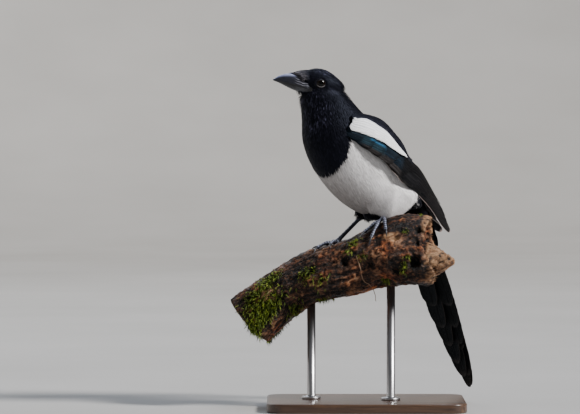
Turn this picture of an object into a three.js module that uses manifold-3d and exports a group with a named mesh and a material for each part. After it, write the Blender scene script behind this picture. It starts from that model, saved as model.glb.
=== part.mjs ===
// A Eurasian magpie at life size, still, gripping a short length of a thick old branch
// that two rods hold over a flat base.
// Millimetres, +Z up. The origin is under the middle of the base, on the surface that the base stands on.
// The bird is built in a frame of its own: x ahead, y to its left, z up.
// That frame is turned about Z into the part.
import * as THREE from "three";
import { mergeVertices } from "three/addons/utils/BufferGeometryUtils.js";
import Module from "manifold-3d";

const wasm = await Module();
wasm.setup();

const GAP = 0.3; // kept between pieces that meet
// How much larger a faceted piece is made to cut its neighbour, which leaves at least that gap
const CLEAR = 0.36;
const DEGREE = Math.PI / 180;

const NECK_CLEAR = 0.8; // the same for the head and the bill, whose surfaces run out at a slant

// Driving sizes of the bird
const BODY_TURN = 216; // the bird's heading, in degrees about Z from the part's +X
const HEAD_AT = [61.5, 0, 344.7]; // the middle of the skull, level with the eyes
const HEAD_TURN = -30; // the head looks to the bird's right
const HEAD_LIFT = 8; // and the bill is raised
const EYE_RADIUS = 5.6;
const EYE_SIDE = 11.4;
const LID_RING = 4.9;
const LID_THICKNESS = 0.95;
const VANE_THICKNESS = 0.6;
const TAIL_AT = [-59.3, 0, 220];
const TAIL_TIP = [-137, 0, 18.4];
const TAIL_TWIST = 8; // the tail's face turns a little towards the bird's left
const TARSUS_RADIUS = 2.2;
const TOE_RADIUS = 1.75;
const BALL_RADIUS = 3.3; // of the foot, where the toes meet
const CLAW_RADIUS = 1.3;

// Driving sizes of the stand
const BASE_LENGTH = 210;
const BASE_WIDTH = 140;
const BASE_HEIGHT = 10;
const BASE_CORNER = 18;
const BASE_CHAMFER = 1.5;
const ROD_RADIUS = 4.5;
const ROD_FOOT_RADIUS = 10;
const ROD_FOOT_HEIGHT = 3;
const ROD_X = [-58, 26];

// Sections of the trunk from the tail's root to the top of the neck.
// lean is the way ahead, in degrees above level;
// half, back and belly are how far the section reaches to each side, up and down.
const TRUNK = [
  { x: -67, z: 216, lean: 52, turn: 0, half: 9, back: 8, belly: 8 },
  { x: -60, z: 219, lean: 48, turn: 0, half: 19, back: 17, belly: 18 },
  { x: -46, z: 225, lean: 43, turn: 0, half: 28, back: 26, belly: 29 },
  { x: -26, z: 236, lean: 40, turn: 0, half: 35.5, back: 35, belly: 41 },
  { x: -4, z: 252, lean: 39, turn: 0, half: 39.5, back: 40, belly: 46.5 },
  { x: 17, z: 269, lean: 42, turn: 0, half: 40, back: 41, belly: 46 },
  { x: 33, z: 285, lean: 50, turn: 0, half: 37.5, back: 39.5, belly: 42.5 },
  { x: 42, z: 299, lean: 62, turn: -2, half: 33.5, back: 35, belly: 39 },
  { x: 46, z: 313, lean: 74, turn: -6, half: 29, back: 29.5, belly: 34.5 },
  { x: 51, z: 325, lean: 80, turn: -13, half: 25, back: 25, belly: 30.5 },
  { x: 56, z: 335, lean: 84, turn: -21, half: 21.5, back: 21.5, belly: 26 },
  { x: 59, z: 343, lean: 88, turn: -28, half: 14, back: 16, belly: 16 },
];
const NECK_FROM = 0.66; // share of the trunk's rows below the neck
const BIB_AT = [75, 0, 290]; // the black bib is what lies within a ball about this point
const BIB_RADIUS = 46.5;
const BACK_LINE = { through: [0, 0, 265], lean: 29 }; // black above this sloping plane, white below

// Sections of the head in its own frame, from the back of the skull to the feathers at the bill
const HEAD = [
  { x: -26, z: -3, lean: 0, half: 3, back: 3, belly: 3 },
  { x: -23.5, z: -2.5, lean: 0, half: 9, back: 6.5, belly: 8 },
  { x: -19, z: -2, lean: 0, half: 12.8, back: 10, belly: 12 },
  { x: -13, z: -1.5, lean: 0, half: 15.4, back: 13.5, belly: 15 },
  { x: -7, z: -1, lean: 0, half: 16.8, back: 15.9, belly: 16.5 },
  { x: 0, z: -1, lean: 0, half: 16.8, back: 17.4, belly: 16.5 },
  { x: 7, z: -1, lean: 0, half: 15.6, back: 17, belly: 15.4 },
  { x: 13, z: -1.2, lean: 0, half: 12.8, back: 15.1, belly: 13.6 },
  { x: 19, z: -1.5, lean: -6, half: 10, back: 12.9, belly: 11.7 },
  { x: 25, z: -1.8, lean: -14, half: 7.9, back: 10.9, belly: 9.2 },
  { x: 30, z: -2, lean: -20, half: 6.8, back: 9.2, belly: 6.9 },
];

// Sections of the bill in the head's frame: ridge above, edge between the mandibles, keel below
const BILL = [
  { x: 8, half: 13, ridge: 2, edge: -8.1, keel: -12 },
  { x: 14, half: 12, ridge: 4.6, edge: -7.1, keel: -12.3 },
  { x: 20, half: 9.9, ridge: 6.1, edge: -6.2, keel: -11.8 },
  { x: 26, half: 7.5, ridge: 6.8, edge: -5.4, keel: -10.5 },
  { x: 32, half: 5.9, ridge: 6.4, edge: -4.6, keel: -8.8 },
  { x: 38, half: 4.5, ridge: 4.9, edge: -4, keel: -6.8 },
  { x: 43, half: 3.1, ridge: 2.6, edge: -3.6, keel: -5.2 },
  { x: 47, half: 1.6, ridge: -0.6, edge: -3.3, keel: -4.1 },
  { x: 49.2, half: 0.4, ridge: -2.5, edge: -3.1, keel: -3.5 },
];
const LOWER_BILL_END = 0.93; // the lower mandible is the shorter

// The folded wing's outer face, shoulder to tip: low, middle and high edge
const WING = [
  { lx: 52, ly: 30, lz: 291, mx: 46, my: 33, mz: 301, hx: 37, hy: 30, hz: 309 },
  { lx: 24, ly: 44, lz: 272, mx: 15, my: 41.5, mz: 289, hx: 2, hy: 25, hz: 303 },
  { lx: -1.6, ly: 45, lz: 256, mx: -12, my: 41, mz: 272, hx: -21, hy: 23, hz: 286 },
  { lx: -21, ly: 41, lz: 240, mx: -31, my: 36, mz: 256, hx: -41, hy: 18, hz: 270 },
  { lx: -40, ly: 35, lz: 229, mx: -51, my: 30, mz: 243, hx: -60, hy: 12, hz: 257 },
  { lx: -69, ly: 23, lz: 212, mx: -76, my: 20, mz: 221, hx: -81, hy: 10, hz: 230 },
  { lx: -92, ly: 14, lz: 194, mx: -95.5, my: 13, mz: 200, hx: -98.5, hy: 9, hz: 208 },
  { lx: -110, ly: 8, lz: 184, mx: -110.3, my: 8, mz: 184.6, hx: -110.6, hy: 8, hz: 185.2 },
];

// Tiers of feathers on a wing. Each runs from a first to a last vane, the low edge first. A vane goes from
// its root to its tip in shares of the wing's length and height, and from the height sunk to the height raised.
const WING_TIERS = [
  {
    count: 5, roots: [[0.48, 0.12], [0.46, 0.6]], tips: [[0.985, 0.22], [0.85, 0.82]],
    width: [11, 13], sunk: -2.2, raised: [-1.4, 0.1],
  },
  {
    count: 5, roots: [[0.36, 0.12], [0.36, 0.88]], tips: [[0.6, 0.12], [0.79, 0.92]],
    width: [13, 14], sunk: -2.2, raised: [-0.2, 0.5],
  },
  {
    count: 2, roots: [[0.24, 0.03], [0.3, 0.1]], tips: [[0.46, 0.0], [0.53, 0.08]],
    width: [9, 9], sunk: -2, raised: [0.3, 0.6],
  },
  {
    count: 3, roots: [[0.2, 0.13], [0.18, 0.6]], tips: [[0.4, 0.12], [0.47, 0.62]],
    width: [16, 16], sunk: -2.2, raised: [0.6, 0.8],
  },
  {
    count: 3, roots: [[0.09, 0.12], [0.08, 0.48]], tips: [[0.25, 0.1], [0.26, 0.48]],
    width: [13, 13], sunk: -2.2, raised: [1.1, 1.1],
  },
  {
    count: 2, roots: [[0.0, 0.22], [0.0, 0.48]], tips: [[0.13, 0.2], [0.14, 0.45]],
    width: [13, 13], sunk: -2.2, raised: [1.5, 1.5],
  },
];
const WING_ROLL = 10; // each vane's upper edge dips under the next one, in degrees
const WING_CORE = { end: 0.82, top: -0.9, thickness: [5, 1.6] };
const SCAPULAR = { end: 0.4, low: [0.5, 0.82], high: [1.02, 0.98], lift: [2.4, 3.8] };

// Tail feathers, the middle pair first: length along the tail, sideways place, width
const TAIL_LENGTHS = { left: [218, 206, 175, 168, 148, 122], right: [220, 207, 191, 170, 148, 122] };
const TAIL_OFFSET = [1, 2.1]; // of the middle pair, and added for each pair after it
const TAIL_WIDTHS = [22, 25]; // of the middle and the outer pair
const TAIL_LAYER = 0.95;

// The branch's middle line, cut end to broken end, and its radius
const BRANCH = [
  { x: -123, y: 17, z: 92, r: 29 },
  { x: -97, y: 12, z: 115.5, r: 26 },
  { x: -70, y: 6.5, z: 133.5, r: 25.5 },
  { x: -41, y: 0.5, z: 143.5, r: 28.5 },
  { x: -14, y: -5, z: 151, r: 29 },
  { x: 10, y: -10, z: 160.5, r: 30.5 },
  { x: 36, y: -15.5, z: 167, r: 35 },
  { x: 62, y: -20.5, z: 169.5, r: 36 },
];
// How far the broken end reaches past the last section, by the angle from the top towards the front
const BREAK_REACH = [9, 10, 7, 4, 0, 2, 6, 11, 12, 8, 6, 5, 3, 4, 6, 5, 2, 3, 5, 7];
const PRONG = [
  { x: 40, y: -14, z: 156, r: 21 },
  { x: 66, y: -22, z: 158, r: 17 },
  { x: 82, y: -26, z: 158, r: 9 },
  { x: 91.5, y: -28, z: 156.5, r: 2 },
];

// Feet on the branch: x along it and the angle round it, from the top towards the front, in degrees.
// Toes are listed from the inner one; the last is the hind toe.
const FEET = {
  left: {
    side: 1,
    palm: [18, 3],
    heel: [-49.5, 23, 217],
    knee: [30, 20],
    toes: [
      { to: [-2, 22], claw: [-6, 38] },
      { to: [5, 50], claw: [1.5, 68] },
      { to: [20, 42], claw: [21, 58] },
      { to: [31, -30], claw: [36, -46] },
    ],
  },
  right: {
    side: -1,
    palm: [-31, -10],
    heel: [-17, -22, 208],
    knee: [8, 26],
    toes: [
      { to: [-38, 20], claw: [-38, 37] },
      { to: [-52, 12], claw: [-56, 32] },
      { to: [-51, -20], claw: [-58, -13] },
      { to: [-15, -34], claw: [-10, -50] },
    ],
  },
};

const COLOURS = {
  black_plumage: [0x0c0d12, 0.7, 0],
  white_plumage: [0xe6e4e6, 0.85, 0],
  wing_gloss: [0x14202c, 0.45, 0.1],
  tail_gloss: [0x10151a, 0.45, 0.1],
  bill_horn: [0x24262c, 0.4, 0],
  eye: [0x120b08, 0.1, 0],
  leg_scale: [0x1c1e24, 0.5, 0],
  bark: [0x5a3d2a, 0.95, 0],
  base_wood: [0x3a2a1e, 0.5, 0],
  rod_metal: [0x9a9ca0, 0.35, 0.9],
};

const vec = (x, y, z) => new THREE.Vector3(x, y, z);
const mix = (a, b, t) => a + (b - a) * t;
const ease = (t) => t * t * (3 - 2 * t);
const clamp = (t, low, high) => Math.min(high, Math.max(low, t));

// A small repeatable draw from -1 to 1, so that like feathers vary as real ones do.
let seed = 7;
function vary() {
  seed = (seed * 1103515245 + 12345) % 2147483648;
  return seed / 1073741824 - 1;
}

// The row at share t of a table, on a smooth curve through its rows.
function rowAt(rows, t) {
  const place = clamp(t, 0, 1) * (rows.length - 1);
  const i = Math.min(Math.floor(place), rows.length - 2);
  const f = place - i;
  const made = {};
  for (const key of Object.keys(rows[0])) {
    const [a, b, c, d] = [-1, 0, 1, 2].map((k) => rows[clamp(i + k, 0, rows.length - 1)][key]);
    made[key] = b + 0.5 * f * (c - a + f * (2 * a - 5 * b + 4 * c - d + f * (3 * (b - c) + d - a)));
  }
  return made;
}

// The share t from 0 to 1 at which a rising function reaches a value.
function shareWhere(rising, value) {
  let [low, high] = [0, 1];
  for (let k = 0; k < 30; k++) {
    const middle = (low + high) / 2;
    if (rising(middle) < value) low = middle;
    else high = middle;
  }
  return low;
}

// The row of a table at a place along its x, which rises.
const rowAtX = (rows, x) => rowAt(rows, shareWhere((t) => rowAt(rows, t).x, x));

// Solids. A geometry is a closed triangle mesh; a solid is what can be joined and cut.
function geometryFrom(points, faces) {
  const geometry = new THREE.BufferGeometry().setFromPoints(points).setIndex(faces);
  return volumeOf(points, faces) < 0 ? flipped(geometry) : geometry;
}

function volumeOf(points, faces) {
  let sum = 0;
  for (let i = 0; i < faces.length; i += 3) {
    const [a, b, c] = [0, 1, 2].map((k) => points[faces[i + k]]);
    sum += a.dot(b.clone().cross(c));
  }
  return sum;
}

function flipped(geometry) {
  const index = Array.from(geometry.index.array);
  for (let i = 0; i < index.length; i += 3) [index[i + 1], index[i + 2]] = [index[i + 2], index[i + 1]];
  return geometry.setIndex(index);
}

function solidOf(geometry, matrix) {
  let plain = geometry.clone();
  plain.deleteAttribute("normal");
  plain.deleteAttribute("uv");
  if (matrix) plain.applyMatrix4(matrix);
  plain = mergeVertices(plain, 1e-4);
  if (matrix && matrix.determinant() < 0) plain = flipped(plain);
  return new wasm.Manifold(
    new wasm.Mesh({
      numProp: 3,
      vertProperties: plain.attributes.position.array,
      triVerts: new Uint32Array(plain.index.array),
    }),
  );
}

function geometryOf(solid) {
  const made = solid.getMesh();
  return new THREE.BufferGeometry()
    .setAttribute("position", new THREE.BufferAttribute(made.vertProperties, 3))
    .setIndex(new THREE.BufferAttribute(made.triVerts, 1));
}

const joined = (solids) => solids.reduce((sum, next) => sum.add(next));
const cut = (solid, ...tools) => tools.reduce((left, tool) => left.subtract(tool), solid);
const moved = (solid, matrix) => solidOf(geometryOf(solid), matrix);

// A node keeps only its largest closed body.
function largest(solid) {
  return solid.decompose().reduce((a, b) => (b.volume() > a.volume() ? b : a));
}

function node(name, solid, colour) {
  const [hex, roughness, metalness] = COLOURS[colour];
  const material = new THREE.MeshStandardMaterial({ color: hex, roughness, metalness });
  const mesh = new THREE.Mesh(geometryOf(largest(solid)), material);
  mesh.geometry.computeVertexNormals();
  mesh.name = name;
  return mesh;
}

// A closed body through rings of points, each end closed by a fan about its middle.
function ringBody(rings) {
  const sides = rings[0].length;
  const points = rings.flat();
  const faces = [];
  for (let i = 0; i + 1 < rings.length; i++)
    for (let j = 0; j < sides; j++) {
      const [a, b] = [i * sides + j, i * sides + ((j + 1) % sides)];
      faces.push(a, b, b + sides, a, b + sides, a + sides);
    }
  [0, rings.length - 1].forEach((i, last) => {
    const middle = points.length;
    points.push(rings[i].reduce((sum, p) => sum.add(p), vec(0, 0, 0)).divideScalar(sides));
    for (let j = 0; j < sides; j++) {
      const [a, b] = [i * sides + j, i * sides + ((j + 1) % sides)];
      faces.push(...(last ? [a, b, middle] : [b, a, middle]));
    }
  });
  return geometryFrom(points, faces);
}

// A thin closed body from rows of facing points, with the same triangles on both faces.
function plateBody(rows) {
  const across = rows[0].top.length;
  const points = rows.flatMap((row) => [...row.top, ...row.bottom]);
  const at = (i, j, under) => (i * 2 + (under ? 1 : 0)) * across + j;
  const faces = [];
  const quad = (a, b, c, d) => faces.push(a, b, c, a, c, d);
  for (let i = 0; i + 1 < rows.length; i++) {
    for (let j = 0; j + 1 < across; j++) {
      quad(at(i, j), at(i, j + 1), at(i + 1, j + 1), at(i + 1, j));
      faces.push(at(i, j, 1), at(i + 1, j + 1, 1), at(i, j + 1, 1));
      faces.push(at(i, j, 1), at(i + 1, j, 1), at(i + 1, j + 1, 1));
    }
    quad(at(i, 0), at(i + 1, 0), at(i + 1, 0, 1), at(i, 0, 1));
    quad(at(i, across - 1), at(i, across - 1, 1), at(i + 1, across - 1, 1), at(i + 1, across - 1));
  }
  const end = rows.length - 1;
  for (let j = 0; j + 1 < across; j++) {
    quad(at(0, j), at(0, j, 1), at(0, j + 1, 1), at(0, j + 1));
    quad(at(end, j), at(end, j + 1), at(end, j + 1, 1), at(end, j, 1));
  }
  return geometryFrom(points, faces);
}

// Unit vectors of a section that leans up from level and is turned about Z.
function frameOf(lean, turn) {
  const [l, t] = [lean * DEGREE, turn * DEGREE];
  return {
    ahead: vec(Math.cos(l) * Math.cos(t), Math.cos(l) * Math.sin(t), Math.sin(l)),
    side: vec(-Math.sin(t), Math.cos(t), 0),
    up: vec(-Math.sin(l) * Math.cos(t), -Math.sin(l) * Math.sin(t), Math.cos(l)),
  };
}

// One oval section of the trunk, the head or a limb, made larger by extra.
function section(row, sides, extra = 0) {
  const { side, up } = frameOf(row.lean, row.turn || 0);
  const ring = [];
  for (let j = 0; j < sides; j++) {
    const a = (2 * Math.PI * j) / sides;
    const tall = (Math.sin(a) > 0 ? row.back : row.belly) + extra;
    ring.push(
      vec(row.x, row.y || 0, row.z)
        .addScaledVector(side, Math.cos(a) * (row.half + extra))
        .addScaledVector(up, Math.sin(a) * tall),
    );
  }
  return ring;
}

function loft(rows, from, to, steps, sides, extra = 0) {
  const rings = [];
  for (let i = 0; i <= steps; i++) rings.push(section(rowAt(rows, mix(from, to, i / steps)), sides, extra));
  return rings;
}

// The same rings with the first and the last moved outwards, so that a larger copy is larger at its ends too.
function lengthened(rings, extra) {
  const middle = (ring) => ring.reduce((sum, p) => sum.add(p), vec(0, 0, 0)).divideScalar(ring.length);
  const shift = (ring, next) => {
    const away = middle(ring).sub(middle(next)).normalize().multiplyScalar(extra);
    return ring.map((p) => p.clone().add(away));
  };
  const last = rings.length - 1;
  return rings.map((ring, i) => {
    if (i === 0) return shift(ring, rings[1]);
    return i === last ? shift(ring, rings[last - 1]) : ring;
  });
}

// A round tube along a list of points, with a radius at each, made larger by extra.
function tube(points, radii, sides, extra = 0) {
  const rings = points.map((p, i) => {
    const after = points[Math.min(i + 1, points.length - 1)];
    const along = after.clone().sub(points[Math.max(i - 1, 0)]).normalize();
    const side = vec(0, 0, 1).cross(along);
    if (side.length() < 0.1) side.set(1, 0, 0);
    side.normalize();
    const up = along.clone().cross(side);
    return Array.from({ length: sides }, (_, j) => {
      const a = (2 * Math.PI * j) / sides;
      return p
        .clone()
        .addScaledVector(side, Math.cos(a) * (radii[i] + extra))
        .addScaledVector(up, Math.sin(a) * (radii[i] + extra));
    });
  });
  return ringBody(lengthened(rings, extra));
}

// A feather's width at share t of its length: full soon after the root, rounded at the tip.
function vaneShare(t, roundFrom) {
  const opening = Math.min(1, 0.5 + 2.4 * t);
  const past = clamp((t - roundFrom) / (1 - roundFrom), 0, 1);
  return opening * Math.sqrt(1 - 0.97 * past * past);
}

const LONG_VANE = [0, 0.4, 0.8, 0.94, 1];
const SHORT_VANE = [0, 0.5, 0.87, 1];

// One vane: place(t) gives its middle and the way out of its face at share t of its length.
function vane(place, width, roll, stops, roundFrom = 0.72) {
  const rows = stops.map((t) => {
    const { at, out } = place(t);
    const along = place(Math.min(t + 0.02, 1)).at.sub(place(Math.max(t - 0.02, 0)).at).normalize();
    const side = out.clone().cross(along).normalize();
    const face = along.clone().cross(side);
    const across = side.clone().multiplyScalar(Math.cos(roll)).addScaledVector(face, -Math.sin(roll));
    const thick = along.clone().cross(across).multiplyScalar(VANE_THICKNESS / 2);
    const half = (width * vaneShare(t, roundFrom)) / 2;
    const edges = [-half, half].map((w) => at.clone().addScaledVector(across, w));
    return { top: edges.map((p) => p.clone().add(thick)), bottom: edges.map((p) => p.clone().sub(thick)) };
  });
  return plateBody(rows);
}

// Trunk, neck and head

const TRUNK_SIDES = 24;
const trunkRings = (extra = 0) => loft(TRUNK, 0, NECK_FROM, 13, TRUNK_SIDES, extra);
const neckRings = (extra = 0) => loft(TRUNK, NECK_FROM, 1, 6, TRUNK_SIDES, extra);

function headMatrix() {
  return new THREE.Matrix4()
    .makeTranslation(...HEAD_AT)
    .multiply(new THREE.Matrix4().makeRotationZ(HEAD_TURN * DEGREE))
    .multiply(new THREE.Matrix4().makeRotationY(-HEAD_LIFT * DEGREE));
}

function eyeBall(side, extra) {
  const ball = new THREE.SphereGeometry(EYE_RADIUS + extra, 14, 9);
  return solidOf(ball, new THREE.Matrix4().makeTranslation(0, side * EYE_SIDE, 0));
}

function lidRing(side) {
  const ring = new THREE.TorusGeometry(LID_RING, LID_THICKNESS, 4, 14);
  const tilt = new THREE.Matrix4().makeRotationX((90 - side * 4) * DEGREE);
  return solidOf(ring, new THREE.Matrix4().makeTranslation(0, side * 15.4, 0).multiply(tilt));
}

// Short stiff feathers that lie forward over the base of the bill and cover the nostrils.
function nasalBristles(side) {
  return [0, 1, 2].map((k) => {
    const place = (t) => {
      const x = 20 + k * 0.8 + t * (13.5 - k * 4.5);
      const row = rowAtX(HEAD, Math.min(x, 29));
      const a = (74 - k * 30) * DEGREE;
      const lift = 0.2 + 0.5 * Math.sin(t * Math.PI) - t * 0.2;
      const out = vec(0, side * Math.cos(a), Math.sin(a));
      const at = vec(x, side * Math.cos(a) * row.half, -1.8 + Math.sin(a) * row.back - t * 0.6);
      return { at: at.addScaledVector(out, lift), out };
    };
    return solidOf(vane(place, 4, 0, SHORT_VANE, 0.3));
  });
}

function billSection(row, upper, extra) {
  const [flat, far] = upper ? [row.edge + GAP / 2, row.ridge] : [row.edge - GAP / 2, row.keel];
  const grow = upper ? extra : -extra;
  const steps = 8;
  const ring = [];
  for (let j = 0; j <= steps; j++) {
    const a = (Math.PI * j) / steps;
    const high = Math.pow(Math.abs(Math.sin(a)), 0.85);
    ring.push(vec(row.x, Math.cos(a) * (row.half + extra), flat - grow + (far - flat + 2 * grow) * high));
  }
  return ring;
}

function mandible(upper, extra = 0) {
  const steps = 11;
  const end = upper ? 1 : LOWER_BILL_END;
  const rings = [];
  for (let i = 0; i <= steps; i++) {
    const row = rowAt(BILL, (end * i) / steps);
    const taper = upper ? 0 : Math.pow(i / steps, 6);
    row.half *= 1 - 0.6 * taper;
    row.keel = mix(row.keel, row.edge - 0.6, taper);
    rings.push(billSection(row, upper, extra));
  }
  return solidOf(ringBody(lengthened(rings, extra)));
}

function headParts() {
  const full = (extra) => solidOf(ringBody(lengthened(loft(HEAD, 0, 1, 12, 16, extra), extra)));
  const sockets = [1, -1].map((side) => eyeBall(side, CLEAR));
  const skull = joined([full(0), ...[1, -1].flatMap((side) => [lidRing(side), ...nasalBristles(side)])]);
  const head = cut(skull, ...sockets, mandible(true, NECK_CLEAR), mandible(false, NECK_CLEAR));
  return { head, inflated: full(NECK_CLEAR) };
}

// Wings

function wingPoint(u, v) {
  const r = rowAt(WING, u);
  const [l, m, h] = [(1 - v) * (1 - 2 * v), 4 * v * (1 - v), v * (2 * v - 1)];
  return vec(l * r.lx + m * r.mx + h * r.hx, l * r.ly + m * r.my + h * r.hy, l * r.lz + m * r.mz + h * r.hz);
}

function wingPlace(u, v, lift) {
  const e = 0.01;
  const safe = Math.min(u, 0.97);
  const lengthwise = wingPoint(safe + e, v).sub(wingPoint(safe - e, v));
  const across = wingPoint(safe, v + e).sub(wingPoint(safe, v - e));
  const out = across.cross(lengthwise).normalize();
  if (out.y < 0) out.negate();
  return { at: wingPoint(u, v).addScaledVector(out, lift), out };
}

function wingSheet(rows) {
  return plateBody(
    rows.map(({ u, low, high, top, bottom }) => {
      const shares = Array.from({ length: 5 }, (_, j) => mix(low, high, j / 4));
      return {
        top: shares.map((v) => wingPlace(u, v, top).at),
        bottom: shares.map((v) => wingPlace(u, v, bottom).at),
      };
    }),
  );
}

function wingCore() {
  const steps = 8;
  const rows = Array.from({ length: steps + 1 }, (_, i) => {
    const u = (WING_CORE.end * i) / steps;
    const thin = mix(...WING_CORE.thickness, ease(i / steps));
    const narrow = 0.3 * Math.pow(i / steps, 4);
    return { u, low: 0.02 + narrow, high: 1 - narrow, top: WING_CORE.top, bottom: WING_CORE.top - thin };
  });
  return solidOf(wingSheet(rows));
}

// The room of a whole wing, to cut what lies under it.
function wingBlock() {
  const rows = [0, 0.2, 0.4, 0.6, 0.8, 0.96].map((u) => ({ u, low: -0.1, high: 1.02, top: 4, bottom: -7 }));
  return solidOf(wingSheet(rows));
}

function tierVanes({ count, roots, tips, width, sunk, raised }) {
  return Array.from({ length: count }, (_, k) => {
    const f = count > 1 ? k / (count - 1) : 0;
    const [root, tip] = [roots, tips].map(([first, last]) => first.map((value, n) => mix(value, last[n], f)));
    const length = 1 + 0.02 * vary();
    const place = (t) => {
      const u = mix(root[0], mix(root[0], tip[0], length), t);
      const height = mix(sunk, mix(...raised, f), ease(Math.min(1, t * 1.6)));
      return wingPlace(Math.min(u, 0.995), mix(root[1], tip[1], t), height);
    };
    const long = tip[0] - root[0] > 0.2;
    const outline = long ? LONG_VANE : SHORT_VANE;
    return solidOf(vane(place, mix(...width, f), WING_ROLL * DEGREE, outline, long ? 0.78 : 0.6));
  });
}

// The white shoulder feathers, a long leaf of overlapping vanes along the top of the wing.
function scapular() {
  const { end, low, high, lift } = SCAPULAR;
  const steps = 5;
  const rows = Array.from({ length: steps + 1 }, (_, i) => {
    const t = i / steps;
    const narrow = 0.07 * Math.pow(1 - t, 4);
    const [from, to] = [mix(...low, Math.pow(t, 1.6)) + narrow, mix(...high, t) - narrow];
    return { u: mix(0.03, end, t), low: from, high: to, top: lift[0] + mix(1.3, 0.7, t), bottom: lift[0] };
  });
  const vanes = [0, 1, 2, 3, 4, 5].map((k) => {
    const start = 0.03 + 0.048 * k;
    const place = (t) => {
      const u = Math.min(start + 0.15 * t, end + 0.012);
      const share = Math.pow(u / end, 1.6);
      const v = mix(mix(...low, share), mix(...high, u / end), k % 2 ? 0.7 : 0.3);
      return wingPlace(u, v, mix(lift[0] + 0.7, lift[1] - 0.12 * k, ease(t)));
    };
    return solidOf(vane(place, 13 - k, 0, SHORT_VANE, 0.5));
  });
  return joined([solidOf(wingSheet(rows)), ...vanes]);
}

// Tail

function tailFrame() {
  const along = vec(...TAIL_TIP).sub(vec(...TAIL_AT)).normalize();
  const up = vec(0, 1, 0).cross(along).normalize();
  if (up.x > 0) up.negate();
  const twist = TAIL_TWIST * DEGREE;
  const side = vec(0, 1, 0).multiplyScalar(Math.cos(twist)).addScaledVector(up, Math.sin(twist));
  return { along, side, out: side.clone().cross(along).normalize() };
}

// A place on the tail: d along it, s to the left, h above its middle layer, with a slight bow.
function tailPlace(d, s, h) {
  const { along, side, out } = tailFrame();
  const bow = 3.2 * Math.sin((Math.PI * clamp(d, 0, 216)) / 216);
  const at = vec(...TAIL_AT)
    .addScaledVector(along, d)
    .addScaledVector(side, s)
    .addScaledVector(out, h + bow);
  return { at, out };
}

function tailRoot() {
  const rows = [
    { d: -4, half: 15, high: 9, low: 10 },
    { d: 10, half: 18, high: 9, low: 11 },
    { d: 26, half: 17, high: 7, low: 9 },
    { d: 42, half: 13, high: 4.5, low: 6 },
    { d: 52, half: 8, high: 2.6, low: 3.6 },
  ];
  const rings = [];
  for (let i = 0; i <= 6; i++) {
    const row = rowAt(rows, i / 6);
    rings.push(
      Array.from({ length: 14 }, (_, j) => {
        const a = (2 * Math.PI * j) / 14;
        const h = Math.sin(a) * (Math.sin(a) > 0 ? row.high : row.low);
        return tailPlace(row.d, Math.cos(a) * row.half, h).at;
      }),
    );
  }
  return solidOf(ringBody(rings));
}

function tailVanes() {
  return Object.entries(TAIL_LENGTHS).flatMap(([name, lengths]) =>
    lengths.map((length, pair) => {
      const side = name === "left" ? 1 : -1;
      const layer = (4.5 - 2 * pair + (side > 0 ? 1 : 0)) * TAIL_LAYER;
      const offset = side * (TAIL_OFFSET[0] + TAIL_OFFSET[1] * pair);
      const place = (t) => {
        const d = mix(24, length, t);
        const spread = mix(0.45, 1, ease(clamp(d / 120, 0, 1)));
        return tailPlace(d, offset * spread, layer * mix(0.5, 1, ease(clamp(t, 0, 1))));
      };
      return solidOf(vane(place, mix(...TAIL_WIDTHS, pair / 5), 0, LONG_VANE, pair ? 0.82 : 0.7));
    }),
  );
}

// Coverts over and under the root of the tail.
function tailCoverts(above) {
  return [-1.6, -0.8, 0, 0.8, 1.6].map((k) => {
    const face = above ? 1 : -1;
    const start = above ? 8 : 10;
    const reach = (above ? 66 : 74) - 5 * Math.abs(k);
    const place = (t) => {
      const d = mix(start, reach, t);
      const s = k * mix(7, 5.6, t);
      const rise = (above ? 6.4 : 8.4) - 0.35 * k * k;
      const height = mix(rise - 1, 3.6 + (above ? 4.4 : 3.6), ease(t)) - 0.3 * Math.abs(k);
      const placed = tailPlace(d, s, face * height);
      return { at: placed.at, out: placed.out.multiplyScalar(face) };
    };
    return solidOf(vane(place, 13, 0, SHORT_VANE, 0.5));
  });
}

// The branch

function branchBumps(t, a) {
  const broad = 0.035 * Math.sin(2 * a + 9 * t) + 0.03 * Math.sin(3 * a - 14 * t + 1);
  return 1 + broad + 0.02 * Math.sin(5 * a + 23 * t);
}

function branchFrame(rows, t) {
  const e = 0.01;
  const [a, b, c] = [rowAt(rows, t - e), rowAt(rows, t), rowAt(rows, t + e)];
  const along = vec(c.x - a.x, c.y - a.y, c.z - a.z).normalize();
  const up = vec(0, 0, 1).addScaledVector(along, -along.z).normalize();
  return { at: vec(b.x, b.y, b.z), radius: b.r, along, up, front: along.clone().cross(up) };
}

// A place on the branch: share t along it, angle a from the top towards the front, lift above the bark.
function branchPlace(t, a, lift, rows = BRANCH, bumps = branchBumps) {
  const { at, radius, up, front } = branchFrame(rows, t);
  const out = up.clone().multiplyScalar(Math.cos(a)).addScaledVector(front, Math.sin(a));
  return at.addScaledVector(out, radius * bumps(t, a) + lift);
}

function branchSolid(extra) {
  const sides = 20;
  const steps = 17;
  const rings = [];
  for (let i = 0; i <= steps; i++) {
    const t = i / steps;
    const { along } = branchFrame(BRANCH, t);
    rings.push(
      Array.from({ length: sides }, (_, j) => {
        const broken = i === steps ? BREAK_REACH[j % BREAK_REACH.length] : 0;
        const point = branchPlace(t, (2 * Math.PI * j) / sides, i === steps ? extra - 3 : extra);
        return point.addScaledVector(along, broken + (i === steps ? extra : i === 0 ? -extra : 0));
      }),
    );
  }
  const prong = Array.from({ length: 8 }, (_, i) =>
    Array.from({ length: 14 }, (_, j) =>
      branchPlace(i / 7, (2 * Math.PI * j) / 14, extra, PRONG, (t, a) => 1 + 0.12 * Math.sin(3 * a + 8 * t)),
    ),
  );
  return joined([ringBody(rings), ringBody(prong)].map((geometry) => solidOf(geometry)));
}

// Feet, legs and claws

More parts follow.
